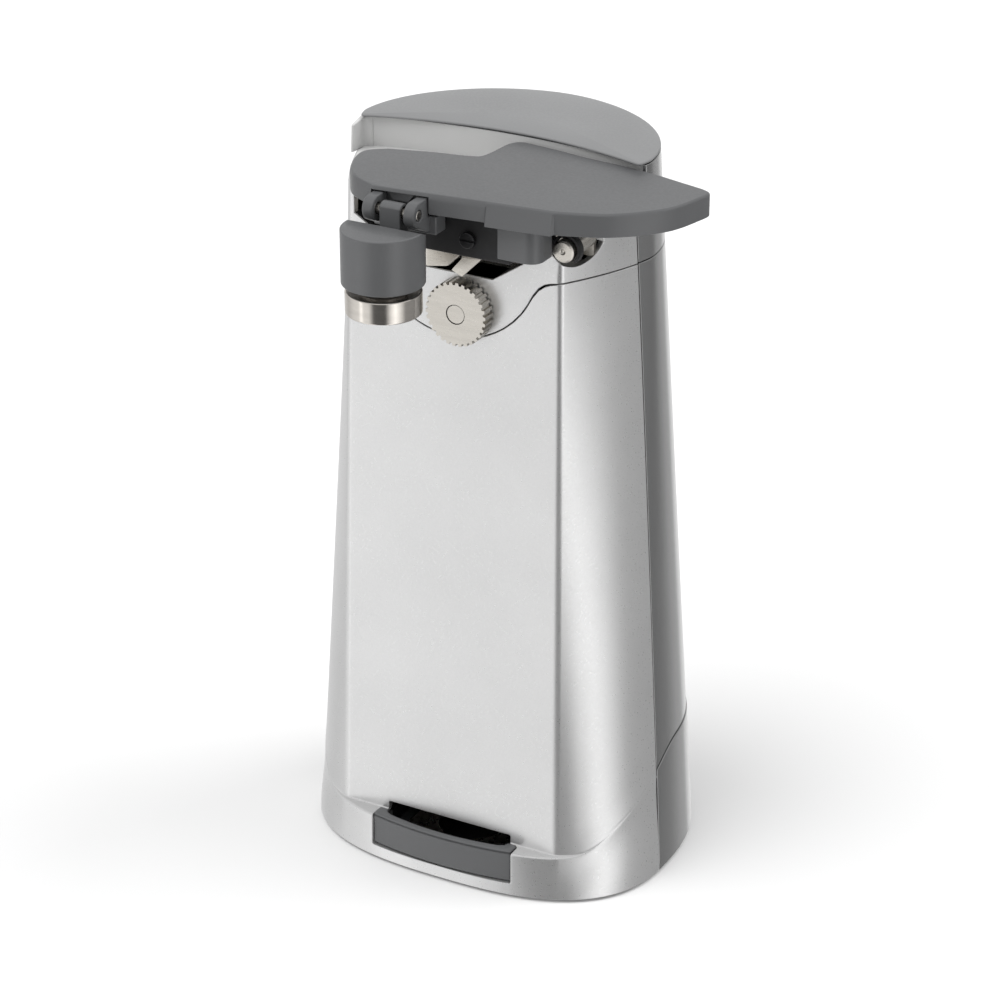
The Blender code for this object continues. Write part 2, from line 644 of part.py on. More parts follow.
def sharpener_and_switch():
    guide = box("sharpener_guide", (-GUIDE_HALF, GUIDE_HALF), GUIDE_Y, GUIDE_Z, BLACK)
    for sign in (-1, 1):
        combine(guide, box(f"cut_knife_slot_{sign}", (sign * 7 - 1.3, sign * 7 + 1.3), (30, 60), (140, 161)))
    body = box("switch_body", (SWITCH[0] - SWITCH_HALF, SWITCH[0] + SWITCH_HALF),
               (SWITCH[1] - SWITCH_HALF, SWITCH[1] + SWITCH_HALF), SWITCH_Z, BLACK)
    combine(body, rod("cut_plunger_hole", SWITCH, (SWITCH_Z[0] + 2, 240), 2.4, "Z"))
    foot = SWITCH_Z[0] + 5
    plunger = rod("switch_plunger", SWITCH, (foot, LEVER_BOTTOM - GAP), 2.0, "Z", GREY, 16)
    set_origin(plunger, (*SWITCH, foot))


def lever_outline():
    """Rounded left end over the magnet, a step back to the wall, and a leaf-shaped right end."""
    left = smooth_path([(-15.6, -54.6), (-26.3, -48.6), (-32.5, -38.5), (-34.5, -28.3), (-28.6, -22.7)], 4)
    neck = smooth_path([(-15.2, -18.9), (-3.0, -16.6), (0.4, -13.8), (1.8, -2.3), (3.8, 1.6), (6.4, 2.6)], 3)
    tail = [(18.7, 1.0), (30.0, -1.1), (44.8, -2.5), (56.6, -4.9), (74.2, -9.8)]
    tip = [(LEVER_TIP_X, -12.4)]
    leaf = smooth_path([(76.0, -14.2), (71.0, -29.9), (58.5, -42.3), (42.7, -48.6)], 5)
    front = [(20.7, -50.8)]
    return left + neck + tail + tip + leaf + front


def lever_parts():
    top = LEVER_BOTTOM - GAP
    left, right = EAR_SPANS["left"], EAR_SPANS["right"]
    lever = extruded("lever", [lever_outline()], (LEVER_BOTTOM, LEVER_TOP), "Z", GREY)
    combine(lever, box("cut_lever_notch", (left[0] - 0.6, right[1] + 0.6), (-62, -51.4),
                       (LEVER_BOTTOM - 2, LEVER_TOP - 1.1)))

    carrier = box("lever_carrier", CARRIER_X, CARRIER_Y, (CARRIER_BOTTOM, top), BLACK)
    nose = [(24, -48), *arc((32.5, -43.5), 4.5, -90, 0, 6), (37, -38.8), (24, -38.8)]
    combine(carrier, extruded("join_carrier_front", [nose], (NOSE_BOTTOM, top), "Z"), "UNION")
    arm = [(20, top), (30, top), *arc(STUD, 6.0, 150, -50, 20), *arc(STUD, STUD_RADIUS + 0.4, -50, 200, 24),
           (33.5, 226.3), (20, 226.3)]
    combine(carrier, extruded("join_carrier_hook", [arm], HOOK_Y), "UNION")
    combine(carrier, box("cut_blade_slot", (8.2, 15.4), (BLADE_Y[0] - GAP, BLADE_Y[1] + GAP), (220, 233.4)))

    blade = [(8.5, 233), (8.5, 222.2), (4.5, 217.5), (8.2, 215.9), (15.1, 222.8), (15.1, 233)]
    extruded("cutter_blade", [blade], BLADE_Y, look=STEEL)
    bar_top = CARRIER_BOTTOM - GAP
    bar = [(-5.3, 216.5), (2.6, 217.9), (7.6, 222.9), (7.6, bar_top), (-5.3, bar_top)]
    extruded("rim_bar", [bar], RIM_BAR_Y, look=STEEL)
    rod("blade_screw", (11.8, 229.5), (-46.2, CARRIER_Y[0] - GAP), 2.6, look=STEEL, sides=16)

    bracket = box("magnet_bracket", (left[0], right[1]), (-51, -45), (231.5, top), GREY)
    ear = [(-51.7, 243.5), *arc(HINGE, 4.2, 90, 230, 10), (-52, 232.5), (-45, 232.5), (-45, top), (-51.7, top)]
    for side, span in EAR_SPANS.items():
        combine(bracket, extruded("join_ear_" + side, [ear, circle(HINGE, PIN_RADIUS + GAP, 12)], span, "X"),
                "UNION")
    rod("magnet_hinge_pin", HINGE, (left[0] + 0.2, right[1] - 0.2), PIN_RADIUS, "X", STEEL, 12)
    for name in ("lever", "lever_carrier", "cutter_blade", "rim_bar", "blade_screw", "magnet_bracket",
                 "magnet_hinge_pin"):
        set_origin(bpy.data.objects[name], (STUD[0], 0, STUD[1]))


def magnet_parts():
    low, top = ARM_Z
    arm = rod("magnet_arm", MAGNET_AXIS, ARM_Z, MAGNET_RADIUS, "Z", GREY, 40)
    slope = [(RIDGE_Y, top + 0.01), (RIDGE_Y, top + 5), (-50, top + 5), (-50, 231.0), (-54.0, 232.4)]
    combine(arm, extruded("cut_rear_facet", [slope], (-40, 40), "X"))
    lug = [*arc(HINGE, 4.0, 150, -30, 10), (-54.6, 226), (-60, 226)]
    combine(arm, extruded("join_lug", [lug], LUG_SPAN, "X"), "UNION")
    combine(arm, rod("cut_pin_bore", HINGE, (-20, 8), PIN_RADIUS + GAP, "X", sides=12))
    set_origin(arm, (0, *HINGE))
    neck = 7.5
    wall_inner = 10.2
    cup_top = CUP_BOTTOM + CUP_HEIGHT
    floor = CUP_BOTTOM + CUP_FLOOR
    profile = [(0, low - GAP), (neck, low - GAP), (neck, cup_top), (CUP_RADIUS, cup_top),
               (CUP_RADIUS, CUP_BOTTOM), (wall_inner, CUP_BOTTOM), (wall_inner, floor), (0, floor)]
    turned("magnet_cup", profile, MAGNET_AXIS, NICKEL)
    rod("magnet_disc", MAGNET_AXIS, (CUP_BOTTOM + 0.4, floor - GAP), wall_inner - 0.4, "Z", FERRITE, 28)


front_parts()
rear_parts()
top_cap()
plinth_parts()
drawer()
frame_plates()
gear_train()
motor()
rotor()
sharpener_and_switch()
lever_parts()
magnet_parts()
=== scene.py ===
"""Looks of an electric can opener: a tapered silver body, a grey cap and lever, a lid magnet, a cutter
and a bottle opener drawer.  Lengths are millimetres about the body's own middle line, with +X to the
right and the front towards -Y; TO_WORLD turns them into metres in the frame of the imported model."""

import json
from math import acos, cos, pi, radians, sin

import bmesh
import bpy
import numpy as np
from mathutils import Matrix, Vector
from mathutils.geometry import delaunay_2d_cdt


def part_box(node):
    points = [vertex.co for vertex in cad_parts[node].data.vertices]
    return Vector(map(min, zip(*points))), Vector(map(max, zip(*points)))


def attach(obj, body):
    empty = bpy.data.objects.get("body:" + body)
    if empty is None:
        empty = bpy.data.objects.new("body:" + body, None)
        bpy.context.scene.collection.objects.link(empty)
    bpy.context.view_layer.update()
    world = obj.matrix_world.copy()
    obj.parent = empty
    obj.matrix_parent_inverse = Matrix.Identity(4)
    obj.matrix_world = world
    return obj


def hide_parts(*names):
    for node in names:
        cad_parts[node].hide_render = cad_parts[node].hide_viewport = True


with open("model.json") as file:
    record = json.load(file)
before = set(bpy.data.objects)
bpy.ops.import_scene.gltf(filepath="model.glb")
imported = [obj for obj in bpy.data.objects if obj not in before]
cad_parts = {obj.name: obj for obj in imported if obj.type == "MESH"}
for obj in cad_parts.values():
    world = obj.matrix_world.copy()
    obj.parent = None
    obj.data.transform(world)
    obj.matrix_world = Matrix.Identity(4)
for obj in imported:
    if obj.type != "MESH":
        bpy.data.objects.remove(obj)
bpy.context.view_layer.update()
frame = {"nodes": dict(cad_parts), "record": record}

MM = 0.001

# Outer skin: straight taper from the plinth to the top, as in the model
SKIN_HEIGHT = 247.3
HALF_WIDTH = (63.2, 50.4)
BACK_DEPTH = (64.2, 44.8)
BACK_POWER = (2.17, 1.87)
FRONT_POWER = (2.67, 1.22)
PANEL_HALF = (39.8, 37.0)
PANEL_Y = (-38.6, -32.8)
FILLET = 1.5
PLINTH_FRONT = 46.0
PLINTH_TOP = 16.6

# Mouldings: the thickness of their sheet, the size of a grid cell and the seams between them
SHEET = 2.2
CELL = (2.0, 3.0)
SHELL_BOTTOM = 1.2
SPLIT_Y = -7.0
SEAM = 0.35
COLLAR_Z = 216.0
APRON_Z = 222.0
APRON_RADIUS = 30.0
REAR_SEAM_FRONT_Z = 39.0
REAR_SEAM_Z = 45.0
REAR_SEAM_Y = 9.0

# Head: shelf, shoulder, the wall under the cap, and the cap
SHELF_Z = 236.2
SHOULDER_X = 36.0
EDGE_HALF = 48
SHOULDER_Z = 229.0
WALL_Y = (3.9, -2.0)
CAP_FRONT_Y = (3.6, -4.6)
HEAD_TOP = 246.2
CAP_EDGE_Z = 247.3
CAP_DOME = 0.8
BAY_DEPTH_Y = -23.2
PLATE_FRONT_Y = -22.6

# Lever, its stud, and the cutter under it
STUD = (40.2, 228.3)
STUD_FRONT_Y = -38.0
LEVER_TOP = 245.0
LEVER_THICK = 7.4
LEVER_TIP_X = 76.2
LEVER_BOTTOM = LEVER_TOP - LEVER_THICK
UNDER_LEVER = LEVER_BOTTOM - 0.3
CARRIER_X = (-12, 26)
CARRIER_Y = (-44.5, -34.4)
CARRIER_Z = 223.6
HOOK_Y = (-36, -33.4)
RIB_Y = (-35, -32.4)
KNIFE_Y = (-43, -41.6)
BAR_Y = (-41.2, -37)
SCREW = (11.8, 229.5)
SCREW_FRONT_Y = -46.2

# Clevis and magnet
HINGE = (-57.0, 239.3)
PIN_RADIUS = 1.5
EAR_SPANS = ((-15.8, -12.2), (-1.6, 2.0))
LUG_SPAN = (-10.6, -3.4)
NOTCH_Y = -51.4
MAGNET_AXIS = (-5.0, -67.0)
MAGNET_RADIUS = 12.8
ARM_Z = (220.4, 237.7)
RIDGE_Y = -66.3
CUP_RADIUS = 11.75
CUP_Z = (211.0, 218.1)

# Bottle opener drawer, and the slot over it
DRAWER_HALF = 26.0
DRAWER_Y = -43.4
DRAWER_BOW = 2.6
DRAWER_Z = (5.8, 17.4)
UPPER_SLOT_HALF = 23.2
TRAY_HALF = 24.5
OPENER_MOUTH = (0.0, -22.0)

# Cable gland and knife guide at the back
GLAND_Z = 16
GUIDE_HALF = 16.0
GUIDE_Z = (136, 166)

stud_low, stud_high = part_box("pivot_stud")
SHIFT = Vector(((stud_low.x + stud_high.x) / 2 - STUD[0] * MM, stud_low.y - STUD_FRONT_Y * MM, 0))
TO_WORLD = Matrix.Translation(SHIFT) @ Matrix.Scale(MM, 4)


# ---- materials

def new_tree(name):
    made = bpy.data.materials.new(name)
    made.use_nodes = True
    return made, made.node_tree, made.node_tree.nodes["Principled BSDF"]


def feed(tree, node, values):
    """Link each socket given to a node's input, and write each number or colour on its input."""
    for name, value in values.items():
        if isinstance(value, bpy.types.NodeSocket):
            tree.links.new(value, node.inputs[name])
        else:
            node.inputs[name].default_value = value
    return node.outputs


def add(tree, kind, values=None, **settings):
    """The outputs of a new shader node with these settings and inputs."""
    made = tree.nodes.new("ShaderNode" + kind)
    for name, value in settings.items():
        setattr(made, name, value)
    return feed(tree, made, values or {})


def noise(tree, source, scale, detail, stretch):
    place = add(tree, "Mapping", {"Vector": source, "Scale": stretch})["Vector"]
    return add(tree, "TexNoise", {"Vector": place, "Scale": scale, "Detail": detail})["Fac"]


def spread(tree, source, low, high):
    """Map the middle of a noise onto a range."""
    limits = {"From Min": 0.3, "From Max": 0.7, "To Min": low, "To Max": high}
    return add(tree, "MapRange", {"Value": source, **limits})["Result"]


FLAKE_SCALE = 3200
FLAKE_SATURATION = 0.15
COAT_ROUGHNESS = 0.12
LOOKS = {}


def look(name, colour, roughness, metallic=0.0, tint=0.05, cloud=25, grain=900, bump=0.08,
         depth=0.00005, stretch=(1, 1, 1), vary=0.05, coat=0.0, flake=0.0):
    """Add a painted, moulded or ground look: clouded colour, grain in roughness and in height."""
    made, tree, shader = new_tree(name)
    place = add(tree, "TexCoord")["Object"]
    clouds = noise(tree, place, cloud, 4, stretch)
    fine = noise(tree, place, grain, 3, stretch)
    darker = (*[c * (1 - tint) for c in colour], 1)
    lighter = (*[min(1, c * (1 + tint)) for c in colour], 1)
    shares = {"Factor": spread(tree, clouds, 0, 1), "A": darker, "B": lighter}
    tone = add(tree, "Mix", shares, data_type="RGBA")["Result"]
    if flake:
        sparkle = add(tree, "TexVoronoi", {"Vector": place, "Scale": FLAKE_SCALE})["Color"]
        gain = add(tree, "Mix", {"Factor": flake, "A": tone, "B": sparkle}, data_type="RGBA",
                   blend_type="MULTIPLY")["Result"]
        tone = add(tree, "HueSaturation", {"Color": gain, "Saturation": FLAKE_SATURATION,
                                           "Value": 1 + flake / 2})["Color"]
    relief = add(tree, "Bump", {"Strength": bump, "Distance": depth, "Height": fine})["Normal"]
    grained = spread(tree, fine, roughness - vary, roughness + vary)
    feed(tree, shader, {"Base Color": tone, "Roughness": grained, "Metallic": metallic,
                        "Normal": relief})
    if coat:
        feed(tree, shader, {"Coat Weight": coat, "Coat Roughness": COAT_ROUGHNESS})
    LOOKS[name] = made


look("silver_paint", (0.74, 0.74, 0.735), 0.32, 0.8, tint=0.03, grain=1600,
     bump=0.05, depth=0.00002, flake=0.05)
look("rear_silver", (0.42, 0.423, 0.427), 0.2, 0.95, tint=0.03, grain=1800,
     bump=0.06, coat=0.4, flake=0.05)
look("cap_grey", (0.215, 0.217, 0.22), 0.36, grain=1400, bump=0.07)
look("grey_plastic", (0.1, 0.102, 0.105), 0.34, tint=0.06, grain=1300, bump=0.07)
look("black_plastic", (0.014, 0.014, 0.015), 0.5, tint=0.15, grain=1100, bump=0.2)
look("rubber", (0.03, 0.03, 0.03), 0.75, tint=0.2, grain=1500, bump=0.3)
look("brushed_steel", (0.66, 0.63, 0.58), 0.3, 1.0, tint=0.04, cloud=60,
     grain=420, stretch=(1, 1, 9))
look("nickel", (0.74, 0.7, 0.65), 0.16, 1.0, cloud=90, grain=700, bump=0.06,
     stretch=(1, 1, 6))
look("ferrite", (0.07, 0.07, 0.075), 0.55, 0.2, tint=0.25, bump=0.3)
look("copper", (0.62, 0.28, 0.13), 0.3, 1.0, tint=0.15, grain=260, bump=0.6,
     stretch=(1, 12, 12))
look("nylon", (0.72, 0.7, 0.64), 0.45, grain=800, bump=0.15)
look("grinding_stone", (0.42, 0.3, 0.26), 0.9, tint=0.35, cloud=700, grain=2500,
     bump=0.9, depth=0.0001)
look("dark_steel", (0.06, 0.06, 0.062), 0.35, 0.9, tint=0.2, bump=0.15)
look("wall_grey", (0.58, 0.58, 0.575), 0.42, tint=0.03, grain=1400, bump=0.1)


# ---- mesh helpers

def put(name, bm, finish, body="housing", stands_for=(), sharp=40):
    """Place a mesh drawn in millimetres in the frame and let it ride on its body."""
    bmesh.ops.transform(bm, matrix=TO_WORLD, verts=bm.verts)
    mesh = bpy.data.meshes.new(name)
    bm.to_mesh(mesh)
    bm.free()
    mesh.materials.append(LOOKS[finish])
    mesh.shade_smooth()
    mesh.set_sharp_from_angle(angle=radians(sharp))
    piece = bpy.data.objects.new(name, mesh)
    bpy.context.scene.collection.objects.link(piece)
    shading = piece.modifiers.new("shading", "WEIGHTED_NORMAL")
    shading.keep_sharp = True
    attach(piece, body)
    if stands_for:
        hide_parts(*stands_for)
    return piece


def arc(centre, radius, start, end, steps):
    points = []
    for i in range(steps + 1):
        angle = radians(start + (end - start) * i / steps)
        points.append((centre[0] + radius * cos(angle), centre[1] + radius * sin(angle)))
    return points


def circle(centre, radius, steps=48):
    return arc(centre, radius, 0, 360, steps)[:-1]


def rectangle(half, low, high):
    return [(-half, low), (half, low), (half, high), (-half, high)]


def on_bend(a, corner, b, t):
    """A point of the quadratic curve from a to b that rounds a corner."""
    return tuple((1 - t) ** 2 * p + 2 * t * (1 - t) * q + t * t * r
                 for p, q, r in zip(a, corner, b))


def bend(a, corner, b, steps):
    return [on_bend(a, corner, b, i / steps) for i in range(steps + 1)]


def rounded_corner(here, back, ahead, reach, steps):
    """The curve that replaces a corner; it takes less than half of either side."""
    back = back.normalized() * min(reach, back.length * 0.45)
    ahead = ahead.normalized() * min(reach, ahead.length * 0.45)
    return bend(here + back, here, here + ahead, steps)


def round_corners(outline, reach, steps=4):
    """Round every corner of a polygon that turns by 20 degrees or more."""
    path = []
    for i, here in enumerate(outline):
        here = Vector(here)
        back = Vector(outline[i - 1]) - here
        ahead = Vector(outline[(i + 1) % len(outline)]) - here
        if (-back).angle(ahead) < radians(20):
            path.append(tuple(here))
        else:
            path += rounded_corner(here, back, ahead, reach, steps)
    return path


def soft_profile(profile, reach):
    """Round the corners of an open profile; its two ends stay."""
    path = [profile[0]]
    for before, here, after in zip(profile, profile[1:], profile[2:]):
        here = Vector(here)
        path += rounded_corner(here, Vector(before) - here, Vector(after) - here, reach, 3)
    path.append(profile[-1])
    return path


def smooth_path(points, steps):
    """A Catmull-Rom curve through open points."""
    padded = [points[0], *points, points[-1]]
    path = []
    for a, b, c, d in zip(padded, padded[1:], padded[2:], padded[3:]):
        for i in range(steps):
            t = i / steps
            path.append(tuple(0.5 * (2 * q + (r - p) * t + (2 * p - 5 * q + 4 * r - s) * t ** 2
                                     + (3 * q - p - 3 * r + s) * t ** 3)
                              for p, q, r, s in zip(a, b, c, d)))
    path.append(points[-1])
    return path


def signed_area(loop):
    return sum(a[0] * b[1] - b[0] * a[1] for a, b in zip(loop, loop[1:] + loop[:1])) / 2


def inset(loop, distance):
    """Move a loop to its left: inwards for an outer loop, into the material for a hole."""
    moved = []
    count = len(loop)
    for i, here in enumerate(loop):
        here = Vector(here)
        first = (here - Vector(loop[i - 1])).normalized()
        second = (Vector(loop[(i + 1) % count]) - here).normalized()
        normal = Vector((-(first.y + second.y), first.x + second.x)).normalized()
        reach = distance / max(0.5, normal.dot(Vector((-first.y, first.x))))
        moved.append(tuple(here + normal * reach))
    return moved


def inside(point, loops):
    """Even-odd test against all loops together."""
    x, y = point
    odd = False
    for loop in loops:
        for (ax, ay), (bx, by) in zip(loop, loop[1:] + loop[:1]):
            if (ay > y) != (by > y) and x < (bx - ax) * (y - ay) / (by - ay) + ax:
                odd = not odd
    return odd


def fill(loops, extra=()):
    """Triangles that cover the region between the loops, through extra points if there are any."""
    points = [p for loop in loops for p in loop]
    edges = []
    start = 0
    for loop in loops:
        edges += [(start + i, start + (i + 1) % len(loop)) for i in range(len(loop))]
        start += len(loop)
    points += list(extra)
    found, _, faces, *_ = delaunay_2d_cdt([Vector(p) for p in points], edges, [], 0, 1e-6)
    kept = []
    for face in faces:
        middle = sum((found[i] for i in face), Vector((0, 0))) / len(face)
        if inside(middle, loops):
            kept.append(face)
    return found, kept


def bridge(bm, rows):
    """Join closed rows of points with faces; a row may repeat one point."""
    for lower, upper in zip(rows, rows[1:]):
        for i in range(len(lower)):
            j = (i + 1) % len(lower)
            corners = list(dict.fromkeys((lower[i], lower[j], upper[j], upper[i])))
            if len(corners) > 2:
                bm.faces.new(corners)


# Where (u, v) across an axis and w along it lie in (x, y, z)
AXES = {
    "X": lambda u, v, w: (w, u, v),
    "Y": lambda u, v, w: (u, w, v),
    "Z": lambda u, v, w: (u, v, w),
}


def rounded_solid(loops, along, axis="Z", low_round=0.3, high_round=0.3, steps=3, shape=None):
    """A plate or block with rounded rims; loops are its outline and its holes.  shape moves each
    point (u, v, w) before it is turned to the axis."""
    turned_loops = []
    for i, loop in enumerate(loops):
        loop = [tuple(p) for p in loop]
        forwards = signed_area(loop) > 0
        turned_loops.append(loop if forwards == (i == 0) else loop[::-1])
    low, high = along
    angles = [pi / 2 * i / steps for i in range(steps + 1)]
    levels = [(low_round * (1 - sin(a)), low + low_round * (1 - cos(a))) for a in angles]
    levels += [(high_round * (1 - cos(a)), high - high_round * (1 - sin(a))) for a in angles]
    bm = bmesh.new()
    place = AXES[axis]
    shape = shape or AXES["Z"]
    ends = []
    for loop in turned_loops:
        rows = []
        for distance, w in levels:
            ring = inset(loop, distance)
            rows.append([bm.verts.new(place(*shape(u, v, w))) for u, v in ring])
        bridge(bm, rows)
        ends.append((rows[0], rows[-1]))
    for end in (0, -1):
        rim = [v for pair in ends for v in pair[end]]
        _, faces = fill([inset(loop, levels[end][0]) for loop in turned_loops])
        for face in faces:
            corners = [rim[i] for i in face if i < len(rim)]
            if len(corners) == len(face):
                bm.faces.new(corners[::-1] if end == 0 else corners)
    bmesh.ops.recalc_face_normals(bm, faces=bm.faces)
    return bm


def join(parts):
    """Put several meshes into one."""
    whole = bmesh.new()
    for part in parts:
        mesh = bpy.data.meshes.new("join")
        part.to_mesh(mesh)
        part.free()
        whole.from_mesh(mesh)
        bpy.data.meshes.remove(mesh)
    return whole


def cut(bm, tool):
    """Take one closed mesh away from another."""
    pieces = []
    for part in (bm, tool):
        mesh = bpy.data.meshes.new("cut")
        part.to_mesh(mesh)
        part.free()
        pieces.append(bpy.data.objects.new("cut", mesh))
        bpy.context.scene.collection.objects.link(pieces[-1])
    change = pieces[0].modifiers.new("cut", "BOOLEAN")
    change.object = pieces[1]
    change.solver = "EXACT"
    depsgraph = bpy.context.evaluated_depsgraph_get()
    mesh = bpy.data.meshes.new_from_object(pieces[0].evaluated_get(depsgraph))
    result = bmesh.new()
    result.from_mesh(mesh)
    for old in [mesh] + [piece.data for piece in pieces]:
        bpy.data.meshes.remove(old)
    return result


def block(x, y, z, soft=0.0):
    """A box between pairs of limits, with rounded edges if soft is given."""
    outline = [(x[0], y[0]), (x[1], y[0]), (x[1], y[1]), (x[0], y[1])]
    if soft:
        return rounded_solid([round_corners(outline, soft)], z, "Z", soft / 2, soft / 2)
    bm = bmesh.new()
    for v in bmesh.ops.create_cube(bm, size=1)["verts"]:
        v.co = Vector((x[v.co.x > 0], y[v.co.y > 0], z[v.co.z > 0]))
    return bm


def turned(profile, centre, axis="Z", steps=64):
    """Turn a profile of (radius, height) about an axis through centre."""
    bm = bmesh.new()
    place = AXES[axis]
    rows = []
    for radius, height in profile:
        if radius < 1e-6:
            rows.append([bm.verts.new(place(centre[0], centre[1], height))] * steps)
            continue
        rows.append([bm.verts.new(place(u, v, height)) for u, v in circle(centre, radius, steps)])
    bridge(bm, rows)
    bmesh.ops.recalc_face_normals(bm, faces=bm.faces)
    return bm


# ---- the skin

def at_height(pair, z):
    """A measure at a height, from its values at the foot and at the top."""
    return pair[0] + (pair[1] - pair[0]) * z / SKIN_HEIGHT


def front_edge(pair, x):
    """Depth of the bowed wall, or of the cap's front edge, from its middle and its end."""
    return pair[0] + (pair[1] - pair[0]) * (x / EDGE_HALF) ** 2


def lengths(x, y):
    """How far along a curve each of its points lies."""
    return np.concatenate(([0], np.cumsum(np.hypot(np.diff(x), np.diff(y)))))


# The skin's own coordinate w: the panel's edge, the end of its fillet, and the seam behind the
# side, counted from the front and from the back
PANEL_W = 36.0
CORNER_W = 40.0
SPLIT_W = 76.0
REAR_W = 90.0
CURVE_POINTS = 320


def side_curve(z, plinth=False):
    """The swept side at one height, from the panel's corner back to the middle of the side."""
    side = at_height(HALF_WIDTH, z)
    half = at_height(PANEL_HALF, z)
    power = at_height(FRONT_POWER, z)
    depth = PLINTH_FRONT
    if not plinth:
        depth = -at_height(PANEL_Y, z) / (1 - (half / side) ** power) ** (1 / power)
    angle = np.linspace(acos((half / side) ** (power / 2)), 0, CURVE_POINTS)
    x = side * np.cos(angle) ** (2 / power)
    y = -depth * np.sin(angle) ** (2 / power)
    return x, y, side, depth, power


def front_point(w, z, plinth=False):
    """A point of the front skin: w runs from the middle of the panel to the seam behind the side."""
    x, y, side, depth, power = side_curve(z, plinth)
    along = lengths(x, y)
    s = abs(w)
    half = at_height(PANEL_HALF, z)

    def on_front(across):
        if plinth:
            return -depth * (1 - (across / side) ** power) ** (1 / power)
        return at_height(PANEL_Y, z)

    def on_side(reach):
        return float(np.interp(reach, along, x)), float(np.interp(reach, along, y))

    if s <= PANEL_W:
        across = s / PANEL_W * (half - FILLET)
        point = (across, on_front(across))
    elif s < CORNER_W:
        start = (half - FILLET, on_front(half - FILLET))
        t = (s - PANEL_W) / (CORNER_W - PANEL_W)
        end = on_side(FILLET)
        point = on_bend(start, (half, on_front(half)), end, t)
    else:
        last = float(np.interp(SPLIT_Y - SEAM / 2, y, along))
        t = (s - CORNER_W) / (SPLIT_W - CORNER_W)
        point = on_side(FILLET + (last - FILLET) * t)
    return (point[0] if w >= 0 else -point[0], point[1])


def rear_point(w, z):
    """A point of the rear skin: w runs from the middle of the back to the seam behind the side."""
    x, y, side, _, _ = side_curve(z)
    angle = np.linspace(pi / 2, 0, CURVE_POINTS)
    power = at_height(BACK_POWER, z)
    back_x = side * np.cos(angle) ** (2 / power)
    back_y = at_height(BACK_DEPTH, z) * np.sin(angle) ** (2 / power)
    all_x = np.concatenate((back_x, x[::-1][1:]))
    all_y = np.concatenate((back_y, y[::-1][1:]))
    along = lengths(all_x, all_y)
    last = float(np.interp(-(SPLIT_Y + SEAM / 2), -all_y, along))
    reach = abs(w) / REAR_W * last
    across = float(np.interp(reach, along, all_x))
    return (across if w >= 0 else -across, float(np.interp(reach, along, all_y)))


def outward(point, w, z):
    """The level outward direction of a skin at w."""
    step = 0.2 if w < 0 else -0.2
    x0, y0 = point(w - step, z)
    x1, y1 = point(w + step, z)
    normal = Vector((y1 - y0, x0 - x1)).normalized()
    here = Vector(point(w, z))
    return normal if normal.dot(here) > 0 else -normal


def bisect(low, high, holds):
    """The last place between two limits where a test holds."""
    for _ in range(24):
        middle = (low + high) / 2
        if holds(middle):
            low = middle
        else:
            high = middle
    return low


def front_w(x, z):
    """The w of a point of the front skin, from its distance from the middle."""
    w = bisect(0.0, SPLIT_W, lambda w: front_point(w, z)[0] < abs(x))
    return w if x >= 0 else -w


def edge_w(pair, z):
    """The w where the bowed wall, or the cap's front edge, meets the rear skin."""
    def behind(w):
        x, y = rear_point(w, z)
        return y > front_edge(pair, x)

    return bisect(60.0, REAR_W, behind)


def lines(*spans):
    """Grid lines from (start, end, count) spans, without repeats."""
    values = set()
    for start, end, count in spans:
        values |= {round(start + (end - start) * i / count, 5) for i in range(count + 1)}
    return sorted(values)


def mirrored(values):
    return sorted({-v for v in values} | set(values))


def trace(points, us, vs):
    """Add a point wherever an outline crosses a grid line, so that the fill follows the grid."""
    path = []
    for (a, b), (c, d) in zip(points, points[1:] + points[:1]):
        cuts = {0.0}
        if abs(c - a) > 1e-4:
            near, far = min(a, c) + 0.2, max(a, c) - 0.2
            cuts |= {round((u - a) / (c - a), 6) for u in us if near < u < far}
        else:
            near, far = min(b, d) + 0.05, max(b, d) - 0.05
            cuts |= {round((v - b) / (d - b), 6) for v in vs if near < v < far}
        path += [(a + (c - a) * t, b + (d - b) * t) for t in sorted(cuts)]
    return path


def skin_patch(loops, us, vs, place):
    """Cover a region of a surface with faces and put each corner where place says."""
    loops = [trace(loop, us, vs) for loop in loops]
    rim = np.array([p for loop in loops for p in loop])
    scaled = rim / np.array(CELL)
    extra = []
    for u in us:
        across = u / CELL[0]
        near = scaled[np.abs(scaled[:, 0] - across) < 0.4]
        for v in vs:
            up = v / CELL[1]
            if len(near) and np.min(np.hypot(near[:, 0] - across, near[:, 1] - up)) < 0.3:
                continue
            if inside((u, v), loops):
                extra.append((u, v))
    found, faces = fill(loops, extra)
    bm = bmesh.new()
    verts = [bm.verts.new(place(p.x, p.y)) for p in found]
    for face in faces:
        bm.faces.new([verts[i] for i in face])
    bmesh.ops.delete(bm, geom=[v for v in bm.verts if not v.link_faces], context="VERTS")
    bmesh.ops.join_triangles(bm, faces=bm.faces, angle_face_threshold=radians(8),
                             angle_shape_threshold=radians(15))
    return bm


